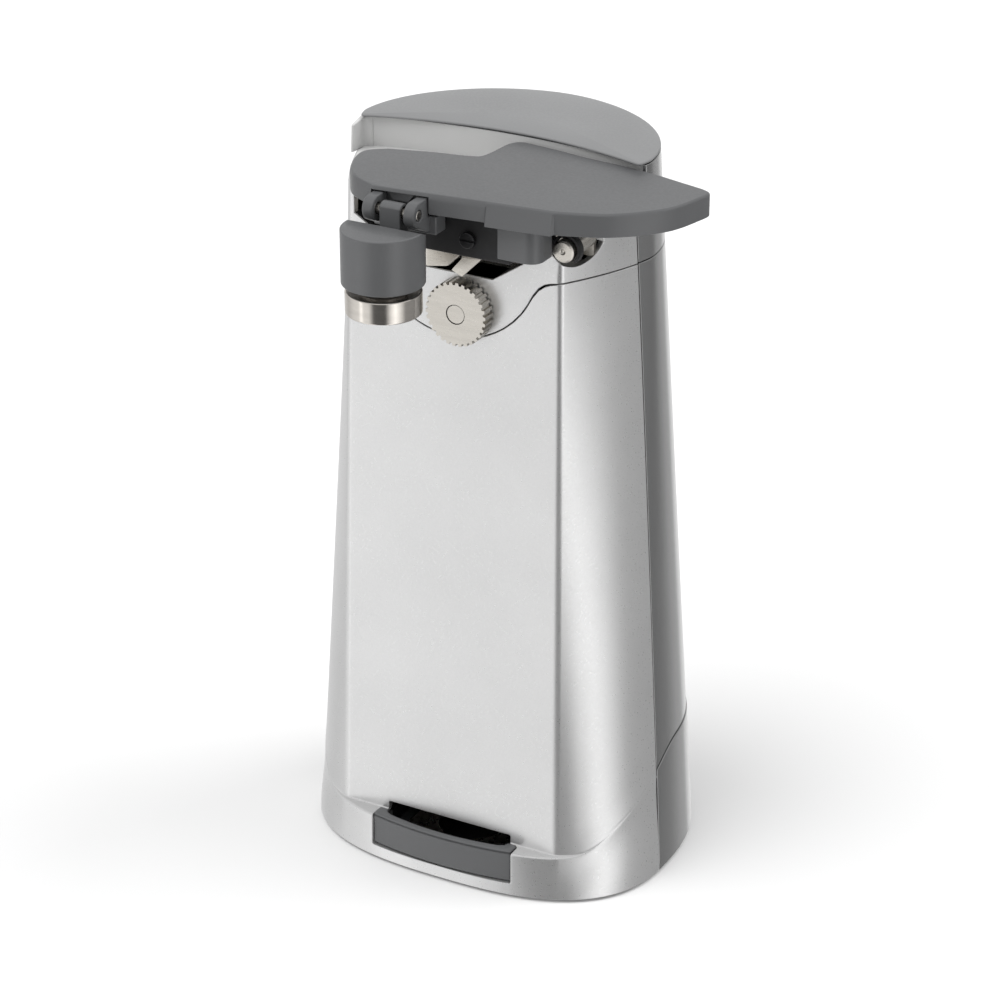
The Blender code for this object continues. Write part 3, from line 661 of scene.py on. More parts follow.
def thicken(bm, radius, thickness=SHEET, steps=3):
    """Give an open surface an inner side, with every free edge rounded."""
    bm.normal_update()
    lean = 0
    for face in bm.faces:
        middle = face.calc_center_median()
        lean += face.normal.x * middle.x + face.normal.y * middle.y
    if lean < 0:
        bmesh.ops.reverse_faces(bm, faces=bm.faces)
        bm.normal_update()
    faces = list(bm.faces)
    rims = [e for e in bm.edges if e.is_boundary]
    away = {}
    for edge in rims:
        face = edge.link_faces[0]
        along = (edge.verts[1].co - edge.verts[0].co).normalized()
        out = along.cross(face.normal).normalized()
        middle = (edge.verts[0].co + edge.verts[1].co) / 2
        if out.dot(middle - face.calc_center_median()) < 0:
            out = -out
        for v in edge.verts:
            away.setdefault(v, []).append(out)
    inner = {}
    chains = {}
    for v in list(bm.verts):
        if v in away:
            outs = away[v]
            mean = sum(outs, Vector()).normalized()
            mean *= min(1.6, 1 / max(0.3, mean.dot(outs[0])))
            normal = v.normal.copy()
            edge_point = v.co.copy()
            chain = [v]
            for i in range(1, steps + 1):
                angle = pi / 2 * i / steps
                chain.append(bm.verts.new(edge_point - mean * radius * (1 - sin(angle))
                                          - normal * radius * (1 - cos(angle))))
            v.co = edge_point - mean * radius
            chain.append(bm.verts.new(edge_point - normal * thickness))
            chains[v] = chain
            inner[v] = chain[-1]
        else:
            inner[v] = bm.verts.new(v.co - v.normal * thickness)
    for edge in rims:
        a, b = edge.verts
        loop = edge.link_loops[0]
        if loop.vert is a:
            a, b = b, a
        for k in range(len(chains[a]) - 1):
            bm.faces.new((chains[a][k], chains[b][k], chains[b][k + 1], chains[a][k + 1]))
    for face in faces:
        bm.faces.new([inner[v] for v in reversed(face.verts)])
    return bm


# ---- front shell

# The front shell's own height v: the plinth's wall, the round over its top, the flat top, the
# hollow behind it, and the skin above
WALL_V = 16.0
ROUND_V = 17.5
FLAT_V = 20.5
HOLLOW_V = 22.0
SKIN_V = 198.0
SIDE_LEDGE = 0.12


def share_of_side(w):
    """0 at the panel's corner, 1 at the seam behind the side."""
    return max(0.0, (abs(w) - CORNER_W) / (SPLIT_W - CORNER_W))


def crease_z(w):
    """The plinth's top: level under the panel, rising along the sides to the rear seam."""
    rise = (share_of_side(w) - 0.2) / 0.8
    rise = (rise + (rise * rise + 0.01) ** 0.5) / 2
    return PLINTH_TOP + (REAR_SEAM_FRONT_Z - PLINTH_TOP) * rise


def ledge(w):
    """How far the plinth stands out from the skin above it."""
    x, y = front_point(min(abs(w), CORNER_W), PLINTH_TOP)
    side = HALF_WIDTH[0]
    power = at_height(FRONT_POWER, 0)
    width = y + PLINTH_FRONT * (1 - (x / side) ** power) ** (1 / power)
    width -= min(1.0, abs(w) / CORNER_W) ** 4
    return SIDE_LEDGE + (width - SIDE_LEDGE) * (1 - share_of_side(w)) ** 4


def ledge_rounds(w):
    """Depths and heights of the round over the ledge and of the hollow behind it."""
    wide = ledge(w)
    convex = min(0.9, 0.45 * wide)
    hollow = min(0.6, 0.45 * wide)
    soft = min(1.0, share_of_side(w) * 4)
    return convex, hollow, convex + 1.7 * soft, hollow + 1.5 * soft


def front_shell_point(w, v):
    top = crease_z(w)
    wide = ledge(w)
    convex, hollow, convex_z, hollow_z = ledge_rounds(w)
    if v > HOLLOW_V:
        z = top + hollow_z + (v - HOLLOW_V) * (COLLAR_Z - top - hollow_z) / SKIN_V
        return (*front_point(w, z), z)
    base = Vector(front_point(w, top))
    out = outward(front_point, w, top)
    if v < WALL_V:
        share = v / WALL_V
        z = SHELL_BOTTOM + share * (top - convex_z - SHELL_BOTTOM)
        foot = Vector(front_point(w, SHELL_BOTTOM, True))
        here = foot.lerp(base + out * wide, share * share * (3 - 2 * share))
        return (*here, z)
    if v <= ROUND_V:
        angle = pi / 2 * (v - WALL_V) / (ROUND_V - WALL_V)
        inwards, z = convex * (1 - cos(angle)), top - convex_z * (1 - sin(angle))
    elif v <= FLAT_V:
        share = (v - ROUND_V) / (FLAT_V - ROUND_V)
        inwards, z = convex + (wide - convex - hollow) * share, top
    else:
        angle = pi / 2 * (v - FLAT_V) / (HOLLOW_V - FLAT_V)
        inwards, z = wide - hollow + hollow * sin(angle), top + hollow_z * (1 - cos(angle))
    here = base + out * (wide - inwards)
    return (*here, z)


def shell_v(w, z):
    """The v of a height above the plinth."""
    top = crease_z(w)
    hollow_z = ledge_rounds(w)[3]
    return HOLLOW_V + (z - top - hollow_z) * SKIN_V / (COLLAR_Z - top - hollow_z)


def collar_z(w, gap):
    """The seam under the head, with the round apron that dips behind the drive wheel."""
    x = abs(w) / PANEL_W * (at_height(PANEL_HALF, COLLAR_Z) - FILLET)
    level = COLLAR_Z - gap
    radius = APRON_RADIUS + gap
    join_x, end_x = 27.0, 37.4
    end_slope = 0.25
    if x >= end_x:
        return level
    if x <= join_x:
        return APRON_Z - (radius ** 2 - x ** 2) ** 0.5
    start = APRON_Z - (radius ** 2 - join_x ** 2) ** 0.5
    slope = join_x / (radius ** 2 - join_x ** 2) ** 0.5
    t = (x - join_x) / (end_x - join_x)
    span = end_x - join_x
    return ((2 * t ** 3 - 3 * t * t + 1) * start + (t ** 3 - 2 * t * t + t) * span * slope
            + (3 * t * t - 2 * t ** 3) * level + (t ** 3 - t * t) * span * end_slope)


FRONT_WS = mirrored(lines((0, 24, 8), (24, PANEL_W, 6), (PANEL_W, CORNER_W, 6),
                          (CORNER_W, SPLIT_W, 18)))


def front_shell():
    """The lower front moulding, with the drawer's slot: wide in the plinth, narrower over it."""
    panel = at_height(PANEL_HALF, 0) - FILLET
    slot_w, upper_w = [half * PANEL_W / panel for half in (DRAWER_HALF + 0.4, UPPER_SLOT_HALF)]
    slot_z = (5.3, 19.8)
    us = sorted(set(FRONT_WS) | {-slot_w, slot_w, -upper_w, upper_w})
    vs = lines((0, WALL_V, 6), (WALL_V, ROUND_V, 4), (ROUND_V, FLAT_V, 3), (FLAT_V, HOLLOW_V, 4),
               (HOLLOW_V, 26, 2), (26, HOLLOW_V + SKIN_V, 40))
    outer = [(-SPLIT_W, 0), (SPLIT_W, 0)]
    outer += [(w, shell_v(w, collar_z(w, SEAM))) for w in reversed(us)]
    low = (slot_z[0] - SHELL_BOTTOM) / (PLINTH_TOP - 0.9 - SHELL_BOTTOM) * WALL_V
    high = shell_v(slot_w, slot_z[1])
    step = FLAT_V - 0.3
    right = [(slot_w, low), (slot_w, step), (upper_w, step + 0.5), (upper_w, high)]
    slot = round_corners(right + [(-w, v) for w, v in reversed(right)], 0.7, 3)
    bm = skin_patch([outer, slot], us, vs, front_shell_point)
    put("front_shell_skin", thicken(bm, 0.22), "silver_paint", stands_for=["front_shell"])


# ---- head

# The front openings of the head as (x, z): the round scoop by the stud, and the bay of the cutter
SCOOP_RIM = [(33.2, 225.9), (37.0, 222.2), (40.2, 220.5), (43.0, 222.2), (44.5, 225.6), (45.0, 229.0)]
BAY_FLOOR = [(-35.0, 226.0), (-14.0, 213.0), (14.0, 213.0), (33.2, 225.9)]
SHOULDER_FRONT_Y = -20.2


def head_front():
    """The upper front moulding, its two openings' linings, its shelf and its shoulder."""
    vs = lines((190, 214, 6), (214, SHELF_Z, 8))
    bay_left = BAY_FLOOR[0][0]
    rim = smooth_path(SCOOP_RIM, 4)
    outer = [(w, collar_z(w, 0)) for w in FRONT_WS]
    outer += [(SPLIT_W, SHOULDER_Z)]
    outer += [(front_w(x, z), z) for x, z in reversed(rim)]
    outer += [(front_w(x, z), z) for x, z in reversed(BAY_FLOOR[:-1])]
    outer += [(front_w(bay_left, SHELF_Z), SHELF_Z), (-SPLIT_W, SHELF_Z)]
    bm = skin_patch([outer], FRONT_WS, vs, lambda w, z: (*front_point(w, z), z))
    put("head_front_skin", thicken(bm, 0.22), "silver_paint", stands_for=["head_front"])

    linings = (
        ("bay_wall", [(bay_left, SHELF_Z - 0.3)] + BAY_FLOOR, "black_plastic"),
        ("scoop_wall", rim, "silver_paint"),
    )
    for name, path, finish in linings:
        wall = bmesh.new()
        rows = []
        for x, z in path:
            y = front_point(front_w(x, z), z)[1] + 0.6
            back = max(y, PLATE_FRONT_Y)
            rows.append([wall.verts.new((x, min(y, back - 0.2), z)), wall.verts.new((x, back, z))])
        for first, second in zip(rows, rows[1:]):
            wall.faces.new((first[0], second[0], second[1], first[1]))
        bmesh.ops.solidify(wall, geom=wall.faces, thickness=0.8)
        put(name, wall, finish)

    ring = [front_point(w, SHELF_Z) for w in lines((-SPLIT_W, -PANEL_W, 20))]
    plate = [(-49.2, -1.2), *ring, (bay_left, ring[-1][1]), (bay_left, BAY_DEPTH_Y),
             (SHOULDER_X, BAY_DEPTH_Y + 2), (SHOULDER_X, 3.0), (0, 4.6), (-34, 2.6)]
    bm = rounded_solid([plate], (SHELF_Z - SHEET, SHELF_Z), "Z", 0.1, 0.5)
    put("head_shelf", bm, "wall_grey")
    front = SHOULDER_FRONT_Y
    ring = [front_point(w, SHOULDER_Z) for w in lines((50, SPLIT_W, 14))]
    ring = [p for p in ring if p[1] > -20.0]
    plate = [(SHOULDER_X - 2, front), (ring[0][0], front), *ring, (50.9, 0.4), (SHOULDER_X - 2, 3.0)]
    flat = rounded_solid([plate], (SHOULDER_Z - SHEET, SHOULDER_Z), "Z", 0.1, 0.4)
    inner = SHOULDER_X - SHEET
    riser = [(inner, front), (SHOULDER_X, front), (SHOULDER_X, 3.0), (inner, 3.0)]
    riser = rounded_solid([riser], (SHOULDER_Z - SHEET, SHELF_Z - 0.2), "Z", 0.1, 0.1)
    put("head_shoulder", join([flat, riser]), "wall_grey")


def rear_seam_z(y):
    """The seam over the rear half of the plinth, which rises from the side to the back."""
    share = min(1.0, max(0.0, (y - SPLIT_Y) / (REAR_SEAM_Y - SPLIT_Y)))
    return REAR_SEAM_FRONT_Z + (REAR_SEAM_Z - REAR_SEAM_FRONT_Z) * sin(pi / 2 * share)


def rear_seam_at(w):
    """The same seam from w, found by repeating because the skin tapers with height."""
    z = REAR_SEAM_Z
    for _ in range(6):
        z = rear_seam_z(rear_point(w, z)[1])
    return z


REAR_WS = mirrored(lines((0, 30, 10), (30, REAR_W, 30)))
REAR_BASE_V = 40.0
REAR_SHELL_V = 170.0


def rear_parts():
    """The rear half of the plinth with the gland's hole, and the rear shell with its window."""
    def base_point(w, v):
        top = rear_seam_at(w)
        share = v / REAR_BASE_V
        foot = Vector(rear_point(w, SHELL_BOTTOM))
        rim = Vector(rear_point(w, top)) + outward(rear_point, w, top) * 0.25
        here = foot.lerp(rim, share)
        return (*here, SHELL_BOTTOM + share * (top - SHELL_BOTTOM))

    gland_v = (GLAND_Z - SHELL_BOTTOM) / (REAR_SEAM_Z - SHELL_BOTTOM) * REAR_BASE_V
    loops = [rectangle(REAR_W, 0, REAR_BASE_V), circle((0, gland_v), 5.0, 28)]
    bm = skin_patch(loops, REAR_WS, lines((0, REAR_BASE_V, 8)), base_point)
    put("rear_base_skin", thicken(bm, 0.3), "rear_silver", stands_for=["rear_base"])

    def shell_point(w, v):
        low = rear_seam_at(w) + 1.5 * SEAM
        z = low + v / REAR_SHELL_V * (COLLAR_Z - SEAM / 2 - low)
        return (*rear_point(w, z), z)

    low, high = [(z - REAR_SEAM_Z) / (COLLAR_Z - REAR_SEAM_Z) * REAR_SHELL_V
                 for z in (GUIDE_Z[0] - 0.4, GUIDE_Z[1] + 0.4)]
    window = round_corners(rectangle(GUIDE_HALF + 0.3, low, high), 3.0, 5)
    loops = [rectangle(REAR_W, 0, REAR_SHELL_V), window]
    bm = skin_patch(loops, REAR_WS, lines((0, REAR_SHELL_V, 34)), shell_point)
    put("rear_shell_skin", thicken(bm, 0.25), "rear_silver", stands_for=["rear_shell"])


def head_rear():
    """The rear moulding of the head, and the bowed wall that faces forward under the cap."""
    edge = edge_w(WALL_Y, HEAD_TOP)
    low = COLLAR_Z + SEAM / 2
    levels = [SHOULDER_Z - 2.0, SHOULDER_Z, 231.4, 233.8, SHELF_Z, 239.5, 242.8, HEAD_TOP]
    us = sorted({w for w in REAR_WS if abs(abs(w) - edge) >= 0.8} | {-edge, edge})
    vs = sorted({low, 220.0, 224.0, SHELF_Z - 2.0} | set(levels))
    outer = [(-REAR_W, low), (REAR_W, low), (REAR_W, SHOULDER_Z), (edge, SHOULDER_Z), (edge, HEAD_TOP),
             (-edge, HEAD_TOP), (-edge, SHELF_Z), (-REAR_W, SHELF_Z)]
    bm = skin_patch([outer], us, vs, lambda w, z: (*rear_point(w, z), z))
    columns = 24
    rows = []
    for z in levels:
        row = []
        x_left, y_left = rear_point(-edge, z)
        x_right, y_right = rear_point(edge, z)
        for i in range(columns + 1):
            x = x_left + (x_right - x_left) * i / columns
            y = y_left + (y_right - y_left) * i / columns
            bow = front_edge(WALL_Y, x) - front_edge(WALL_Y, x_right)
            row.append(bm.verts.new((x, y + bow, z)))
        rows.append(row)
    for lower, upper in zip(rows, rows[1:]):
        for i in range(columns):
            # Well below the shelf the wall is only needed over the shoulder
            if lower[i].co.z < SHELF_Z - 2.5 and lower[i].co.x < SHOULDER_X - 5:
                continue
            face = bm.faces.new((lower[i], lower[i + 1], upper[i + 1], upper[i]))
            face.material_index = 1
    bmesh.ops.delete(bm, geom=[v for v in bm.verts if not v.link_faces], context="VERTS")
    bmesh.ops.remove_doubles(bm, verts=bm.verts, dist=0.02)
    bmesh.ops.recalc_face_normals(bm, faces=bm.faces)
    corners = [e for e in bm.edges if len(e.link_faces) == 2 and e.calc_face_angle() > radians(35)]
    bmesh.ops.bevel(bm, geom=corners, offset=1.2, segments=4, profile=0.5, affect="EDGES",
                    clamp_overlap=True)
    piece = put("head_rear_skin", thicken(bm, 0.22, 2.0), "rear_silver", stands_for=["head_rear"])
    piece.data.materials.append(LOOKS["wall_grey"])


def head_cheek():
    """The wall under the cap wraps forward round the left end of the shelf."""
    outline = smooth_path([(-50.4, -1.0), (-50.4, -5.0), (-50.1, -8.6), (-49.6, -9.4), (-49.0, -8.8),
                           (-48.9, -5.0), (-48.3, -3.0), (-46.6, -2.0), (-46.2, -0.6)], 6)

    def shape(x, y, z):
        height = (z - SHELF_Z) / (HEAD_TOP - SHELF_Z)
        forward = min(1.0, max(0.0, (-y - 2) / 7))
        return x + 0.5 * (1 - height) * (y / 10), y, z - 1.2 * height * forward

    bm = rounded_solid([outline], (SHELF_Z - 0.4, HEAD_TOP), "Z", 0.05, 0.5, 4, shape)
    put("head_cheek", bm, "wall_grey")


def cap_outline():
    """The D-shaped cap: the skin's back and sides, and a bowed front edge with rounded ends."""
    corner = 1.6
    end = edge_w(CAP_FRONT_Y, CAP_EDGE_Z)
    end_x, end_y = rear_point(end, CAP_EDGE_Z)
    back = [rear_point(w, CAP_EDGE_Z) for w in np.linspace(end - corner, corner - end, 110)]
    xs = np.linspace(-end_x + corner, end_x - corner, 50)
    front = [(x, front_edge(CAP_FRONT_Y, x)) for x in xs]
    left = bend(back[-1], (-end_x, end_y), front[0], 5)[1:-1]
    right = bend(front[-1], (end_x, end_y), back[0], 5)[1:-1]
    return back + left + front + right


def top_cap():
    """The cap, with a small step under its rim, a rounded edge and a slightly domed top."""
    outline = cap_outline()
    if signed_area(outline) < 0:
        outline.reverse()
    bm = bmesh.new()
    rows = []
    bottom = HEAD_TOP + 0.3
    rim = 0.45
    edge = [(0.9, bottom), (0.25, bottom), (0.06, bottom + 0.12), (0.0, bottom + 0.3)]
    for i in range(5):
        angle = pi / 2 * i / 4
        edge.append((rim * (1 - cos(angle)), CAP_EDGE_Z - rim * (1 - sin(angle))))
    for distance, z in edge:
        rows.append([bm.verts.new((x, y, z)) for x, y in inset(outline, distance)])
    inner = inset(outline, rim)
    centre = Vector((0, 20))
    for share in (0.97, 0.9, 0.8, 0.68, 0.55, 0.42, 0.3, 0.18, 0.08):
        z = CAP_EDGE_Z + CAP_DOME * (1 - share ** 4)
        rows.append([bm.verts.new((*centre.lerp(Vector(p), share), z)) for p in inner])
    bridge(bm, rows)
    bm.faces.new(rows[-1])
    bm.faces.new(rows[0][::-1])
    put("cap", bm, "cap_grey", stands_for=["top_cap"])


# ---- lever and cutter

def lever_outline():
    """Rounded left end over the magnet, a step back to the wall, and a leaf-shaped right end."""
    left = smooth_path([(-15.6, -54.6), (-26.3, -48.6), (-32.5, -38.5), (-34.5, -28.3),
                        (-28.6, -22.7)], 9)
    neck = smooth_path([(-15.2, -18.9), (-3.0, -16.6), (0.4, -13.8), (1.8, -2.3), (3.8, 1.6),
                        (6.4, 2.6)], 6)
    tail = [(18.7, 1.0), (30.0, -1.1), (44.8, -2.5), (56.6, -4.9), (73.0, -9.4)]
    tip = bend((75.0, -10.4), (LEVER_TIP_X, -11.2), (LEVER_TIP_X, -13.0), 3)
    leaf = smooth_path([(75.8, -15.4), (71.0, -29.9), (58.5, -42.3), (42.7, -48.6)], 9)
    front = [(42.1, -48.66), (32.0, -49.67), (21.3, -50.74), (20.7, -50.8), (12.0, -51.7),
             (3.4, -52.6), (-3.8, -53.4), (-12.0, -54.2)]
    return left + neck + tail + tip + leaf + front


def lever_plate():
    """The lever's plate, with the notch and the tab of the clevis in its front edge."""
    chamfer, facet, lift = 2.2, 1.5, 0.8

    def shape(x, y, z):
        """A wide chamfer at the front's left, then a leaning facet, and a thinner left end."""
        below = LEVER_TOP - z
        raised = lift if z < LEVER_BOTTOM + 0.5 else 0
        if y < -45 and x < 21.0:
            if below < 0.91:
                return x, y, LEVER_TOP - below * chamfer / 0.9
            return x, y, z + raised
        if y < -45 and x < 42.4 and below > 1:
            return x, y - facet * min(1, (below - 1) / 5), z
        return x, y, z + (raised if x < 12 else 0)

    bm = rounded_solid([lever_outline()], (LEVER_BOTTOM, LEVER_TOP), "Z", 0.35, 0.9, 4, shape)
    left, right = EAR_SPANS[0][0] - 0.6, EAR_SPANS[1][1] + 0.6
    low, high = LEVER_BOTTOM - 2, LEVER_TOP - 1.1
    tab = [(left, low), (right, low), (right, high), (-2.2, high), (-4.4, high - 2.8),
           (-9.6, high - 2.8), (-11.8, high), (left, high)]
    bm = cut(bm, block((left, right), (-62, NOTCH_Y - 1.3), (low, high)))
    bm = cut(bm, rounded_solid([tab], (NOTCH_Y - 1.35, NOTCH_Y), "Y", 0, 0, 1))
    put("lever_plate", bm, "grey_plastic", "lever", ["lever"], 30)


def carrier():
    """The block under the lever, its hook over the stud, its rib, and the grey nose beside it."""
    top = UNDER_LEVER
    left, right = CARRIER_X
    outline = [(left, CARRIER_Z), (right, CARRIER_Z), (right, top), (left, top)]
    body = rounded_solid([round_corners(outline, 0.8)], CARRIER_Y, "Y", 0.4, 0.2)
    body = cut(body, block((8.2, 15.4), (KNIFE_Y[0] - 0.3, KNIFE_Y[1] + 0.3), (220, 233.4)))
    nose = [(23.5, -48), *arc((32.5, -43.5), 4.5, -90, 0, 10), (37, -38.8), (23.5, -38.8)]
    nose = rounded_solid([nose], (226.4, top), "Z", 0.4, 0.1)
    hook = [(20, top), (30, top), *arc(STUD, 4.9, 150, -50, 30), *arc(STUD, 3.85, -50, 200, 40),
            (33.5, 226.3), (20, 226.3)]
    hook = rounded_solid([hook], HOOK_Y, "Y", 0.3, 0.2, 2)
    rib = [(-32, 235.2), (33, 235.2), (33, top), (-32, top)]
    rib = rounded_solid([round_corners(rib, 0.4)], RIB_Y, "Y")
    put("cutter_carrier", join([body, hook, rib]), "black_plastic", "lever", ["lever_carrier"])
    put("carrier_nose", nose, "grey_plastic", "lever")


def cutter():
    """The knife with its ground point, the bar behind the can's seam, and the slotted screw."""
    blade = [(8.5, 233), (8.5, 222.2), (4.5, 217.5), (8.2, 215.9), (15.1, 222.8), (15.1, 233)]

    def ground(x, z, y):
        low = max(0.0, min(1.0, (223.0 - z) / 5.0))
        return x, z, y + (0.6 * low if y < -42.3 else 0)

    bm = rounded_solid([round_corners(blade, 0.3, 2)], KNIFE_Y, "Y", 0.12, 0.12, 2, ground)
    put("knife", bm, "brushed_steel", "lever", ["cutter_blade"])
    bar = [(-5.3, 216.5), (2.6, 217.9), (7.6, 222.9), (7.6, 223.3), (-5.3, 223.3)]
    bm = rounded_solid([round_corners(bar, 0.8)], BAR_Y, "Y", 0.35, 0.3)
    put("seam_bar", bm, "brushed_steel", "lever", ["rim_bar"])
    front, back = SCREW_FRONT_Y, -44.8
    head = soft_profile([(0, front), (2.6, front), (2.6, back), (0, back)], 0.4)
    bm = turned(head, SCREW, "Y", 32)
    bm = cut(bm, block((8, 16), (front - 0.8, front + 0.6), (SCREW[1] - 0.35, SCREW[1] + 0.35)))
    put("knife_screw", bm, "dark_steel", "lever", ["blade_screw"])


def clevis():
    """The two ears under the lever and the pin that the magnet hangs on."""
    top = UNDER_LEVER
    parts = [block((-17.4, 4.2), (-51, -45), (231.5, top), 0.5)]
    ear = [(-51.7, 243.3), *arc(HINGE, 4.0, 90, 230, 20), (-52, 232.5), (-45, 232.5), (-45, top),
           (-51.7, top)]
    for span in EAR_SPANS:
        parts.append(rounded_solid([ear, circle(HINGE, PIN_RADIUS + 0.3, 24)], span, "X", 0.5, 0.5))
    put("clevis", join(parts), "grey_plastic", "lever", ["magnet_bracket"])
    low, high = EAR_SPANS[0][0] + 0.2, EAR_SPANS[1][1] - 0.2
    profile = soft_profile([(0, low), (PIN_RADIUS, low), (PIN_RADIUS, high), (0, high)], 0.35)
    put("swing_pin", turned(profile, HINGE, "X", 32), "brushed_steel", "lever", ["magnet_hinge_pin"])


def magnet():
    """The grey holder, its sloping back and its lug, and the bright cup under it."""
    low, high = ARM_Z
    bm = rounded_solid([circle(MAGNET_AXIS, MAGNET_RADIUS, 96)], ARM_Z, "Z", 0.5, 0.35, 4)
    slope = [(RIDGE_Y, high), (RIDGE_Y, high + 5), (-50, high + 5), (-50, 230.7), (-54.0, 232.4)]
    bm = cut(bm, rounded_solid([slope], (-40, 40), "X", 0, 0, 1))
    lug = [*arc(HINGE, 2.9, 150, -30, 20), (-54.6, 228), (-59.5, 228)]
    ear = rounded_solid([lug, circle(HINGE, PIN_RADIUS + 0.3, 24)], LUG_SPAN, "X", 0.4, 0.4)
    put("magnet_holder", join([bm, ear]), "grey_plastic", "magnet", ["magnet_arm"])
    bottom, top = CUP_Z
    neck, inner, floor = 7.5, 10.2, bottom + 5
    profile = [(0, low - 0.3), (neck, low - 0.3), (neck, top), (CUP_RADIUS, top), (CUP_RADIUS, bottom),
               (inner, bottom), (inner, floor), (0, floor)]
    put("magnet_shell", turned(soft_profile(profile, 0.55), MAGNET_AXIS, "Z", 96), "nickel", "magnet",
        ["magnet_cup"])


def stud():
    """The steel stud, with a turned face and a centre dimple."""
    front, back = STUD_FRONT_Y, PLATE_FRONT_Y - 0.3
    profile = [(0, front + 0.5), (0.7, front + 0.3), (0.95, front), (2.95, front), (3.5, front + 0.5),
               (3.5, back), (0, back)]
    put("hook_stud", turned(profile, STUD, "Y", 64), "brushed_steel", "housing", ["pivot_stud"])


# ---- drawer and back

def drawer_front_y(x):
    """Depth of the drawer's bowed front."""
    return DRAWER_Y - DRAWER_BOW * (1 - (x / DRAWER_HALF) ** 2)


def drawer():
    """The bowed front with its finger lip, the floor with its round opening, and the steel opener."""
    half = DRAWER_HALF
    low, high = DRAWER_Z
    xs = [float(x) for x in np.linspace(-half, half, 41)]
    bow = [(x, drawer_front_y(x)) for x in xs]
    wall = [(x, drawer_front_y(x) + 2.2) for x in reversed(xs)]
    face = rounded_solid([round_corners(bow + wall, 0.7)], (low, high - 0.2), "Z", 0.6, 0.2)
    hollow = [(x, -43.7 + 2.0 * (x / 20) ** 2) for x in range(20, -21, -4)]
    tabs = [(half, -38.9), (22.6, -38.9), (22.2, -40.6)]
    rim = bow + tabs + hollow + [(-x, y) for x, y in reversed(tabs)]
    lip = rounded_solid([round_corners(rim, 0.7)], (high - 1.6, high), "Z", 0.3, 0.55)
    cheeks = [block((x - 1.6, x + 1.6), (-43.2, -39.0), (low + 0.4, high - 0.6), 0.4)
              for x in (-24.3, 24.3)]
    put("drawer_front", join([face, lip, *cheeks]), "grey_plastic", "drawer", ["drawer_tray"])
    top = low + 2.6
    edge = round_corners(rectangle(TRAY_HALF, DRAWER_Y + 1, 6), 2.0)
    loops = [edge, circle(OPENER_MOUTH, 13.5, 56)]
    bm = rounded_solid(loops, (low, top), "Z", 0.3, 0.5)
    put("drawer_floor", bm, "grey_plastic", "drawer")
    lip = [*arc(OPENER_MOUTH, 11.5, -60, 240, 48), (-5, -33), (5, -33)]
    edge = round_corners(rectangle(19, DRAWER_Y + 3, -4), 2.5)
    bm = rounded_solid([edge, round_corners(lip, 0.5)], (top + 0.3, top + 1.8))
    put("crown_opener", bm, "brushed_steel", "drawer", ["drawer_opener_plate"])


def back_parts():
    """The ribbed cable gland and the knife guide with its two slots."""
    y = 55.0
    profile = [(0, y), (4.2, y), (4.2, y + 1.8)]
    for step in range(4):
        at = y + 2.4 + 2.1 * step
        rib = 4.1 - 0.12 * step
        profile += [(3.5, at), (3.5, at + 0.7), (rib, at + 1.0), (rib, at + 1.7)]
    profile += [(3.5, y + 11), (2.8, y + 11), (2.8, y + 4), (0, y + 4)]
    bm = turned(soft_profile(profile, 0.2), (0, GLAND_Z), "Y", 48)
    put("gland_boot", bm, "black_plastic", "housing", ["cord_gland"])
    outline = round_corners(rectangle(GUIDE_HALF, *GUIDE_Z), 2.8, 5)
    slots = []
    for middle in (-7, 7):
        slot = [(middle - 1.3, 140), (middle + 1.3, 140), (middle + 1.3, 161), (middle - 1.3, 161)]
        slots.append(round_corners(slot, 1.2, 4))
    bm = rounded_solid([outline, *slots], (39, 51), "Y", 0.3, 0.7)
    put("knife_guide", bm, "black_plastic", "housing", ["sharpener_guide"])


# ---- carried-over CAD nodes

def paint_nodes():
    """Give every CAD node the look of its slot; those that a piece replaces are hidden."""
    slots = {entry["node"]: entry["material_slot"] for entry in frame["record"]["subparts"]}
    for name, node in frame["nodes"].items():
        node.data.materials.clear()
        node.data.materials.append(LOOKS[slots[name]])


# ---- studio

# Brightness round the studio, as (degrees round from the front, to the right, and value)
RING = [(-180, 0.8), (-165, 0.95), (-150, 0.9), (-95, 0.55), (-70, 0.8), (-47, 0.87), (-43, 1.4),
        (-37, 1.4), (-33, 0.9), (-14, 0.85), (0, 0.12), (36, 0.1), (52, 1.0), (65, 1.5), (80, 0.95),
        (97, 0.3), (126, 0.28), (138, 0.24), (152, 0.28), (166, 0.5)]
OVERHEAD = 0.64
OVERHEAD_FROM = 0.35
# Each soft sun's direction, angle in degrees and strength
SUNS = {"key": ((-0.5, -0.7, 1.5), 45, 1.75), "fill": ((0.9, 0.5, 1.3), 35, 1.25)}


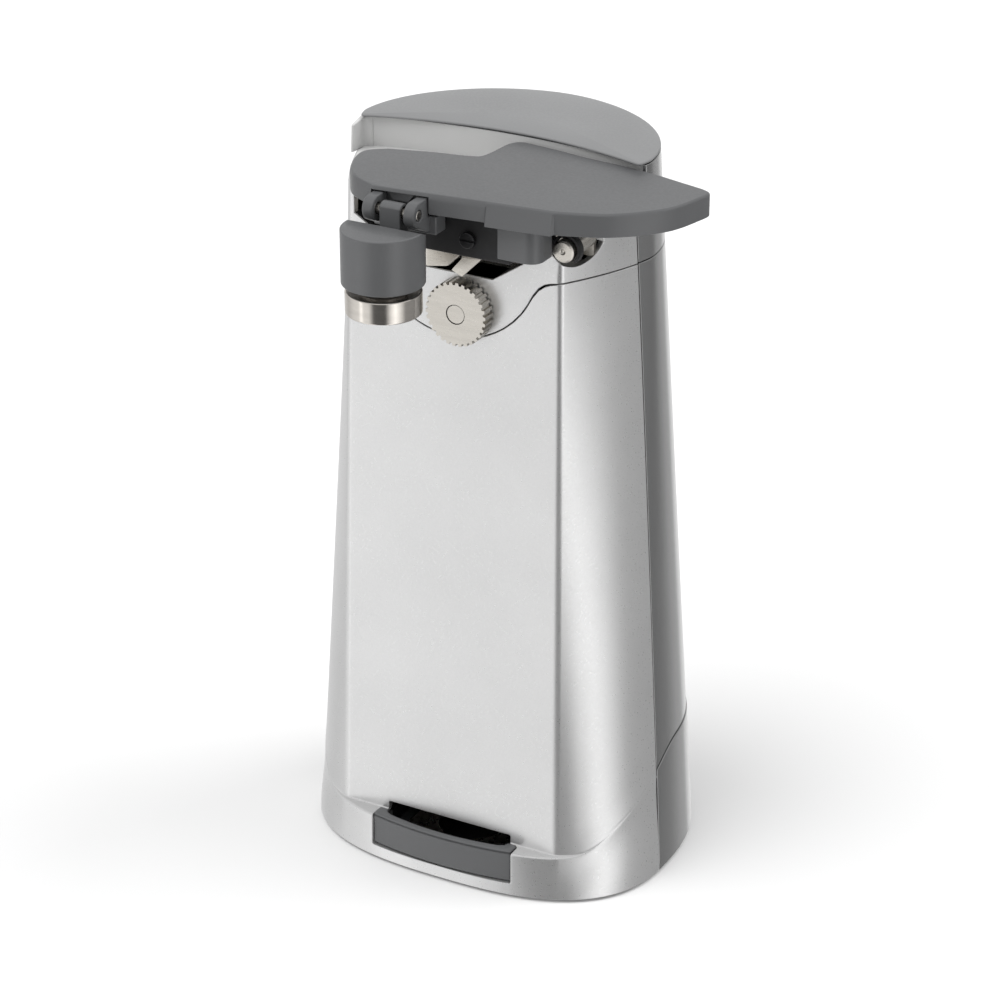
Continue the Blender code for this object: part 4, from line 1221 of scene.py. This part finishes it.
def studio():
    """A pale floor, a bright surround that the object reflects, and two soft suns."""
    bpy.ops.mesh.primitive_plane_add(size=8)
    floor = bpy.context.object
    floor.name = "floor"
    made, tree, shader = new_tree("floor")
    feed(tree, shader, {"Base Color": (0.82, 0.82, 0.82, 1), "Roughness": 0.7,
                        "Specular IOR Level": 0.1})
    floor.data.materials.append(made)
    floor.visible_glossy = False

    world = bpy.data.worlds.new("studio")
    bpy.context.scene.world = world
    world.use_nodes = True
    tree = world.node_tree
    tree.nodes.clear()
    split = add(tree, "SeparateXYZ", {"Vector": add(tree, "TexCoord")["Generated"]})
    minus = add(tree, "Math", {0: split["Y"], 1: -1}, operation="MULTIPLY")[0]
    turn = add(tree, "Math", {0: split["X"], 1: minus}, operation="ARCTAN2")[0]
    whole = add(tree, "MapRange", {"Value": turn, "From Min": -pi, "From Max": pi})["Result"]
    ring = tree.nodes.new("ShaderNodeValToRGB")
    ramp = ring.color_ramp
    while len(ramp.elements) < len(RING):
        ramp.elements.new(0.5)
    for element, (angle, value) in zip(ramp.elements, RING):
        element.position = (angle + 180) / 360
        element.color = (value, value, value, 1)
    around = feed(tree, ring, {"Fac": whole})["Color"]
    share = add(tree, "MapRange", {"Value": split["Z"], "From Max": OVERHEAD_FROM})["Result"]
    above = (OVERHEAD, OVERHEAD, OVERHEAD, 1)
    blend = add(tree, "Mix", {"Factor": share, "A": around, "B": above}, data_type="RGBA")["Result"]
    seen = add(tree, "LightPath")["Is Camera Ray"]
    pale = {"Factor": seen, "A": blend, "B": (1, 1, 1, 1)}
    pale = add(tree, "Mix", pale, data_type="RGBA")["Result"]
    add(tree, "OutputWorld", {"Surface": add(tree, "Background", {"Color": pale})["Background"]})

    for name, (spot, angle, strength) in SUNS.items():
        data = bpy.data.lights.new(name, "SUN")
        data.angle = radians(angle)
        data.energy = strength
        lamp = bpy.data.objects.new(name, data)
        lamp.rotation_euler = Vector(spot).to_track_quat("Z", "Y").to_euler()
        lamp.visible_glossy = False
        bpy.context.scene.collection.objects.link(lamp)
    bpy.context.scene.view_settings.view_transform = "Standard"


LENS = 116.67
SENSOR = 36
AIM = (-3.92, 1.05, 121.41)
AZIMUTH = radians(28.448)
ELEVATION = radians(25.575)
DISTANCE = 1.05507


def camera():
    """A long lens from the front right, looking down on the object."""
    data = bpy.data.cameras.new("camera")
    data.lens = LENS
    data.sensor_width = SENSOR
    made = bpy.data.objects.new("camera", data)
    back = Vector((sin(AZIMUTH) * cos(ELEVATION), -cos(AZIMUTH) * cos(ELEVATION), sin(ELEVATION)))
    made.location = SHIFT + Vector(AIM) * MM + back * DISTANCE
    made.rotation_euler = (-back).to_track_quat("-Z", "Y").to_euler()
    bpy.context.scene.collection.objects.link(made)
    bpy.context.scene.camera = made


camera()
studio()
paint_nodes()
front_shell()
head_front()
rear_parts()
head_rear()
head_cheek()
top_cap()
lever_plate()
carrier()
cutter()
clevis()
magnet()
stud()
drawer()
back_parts()
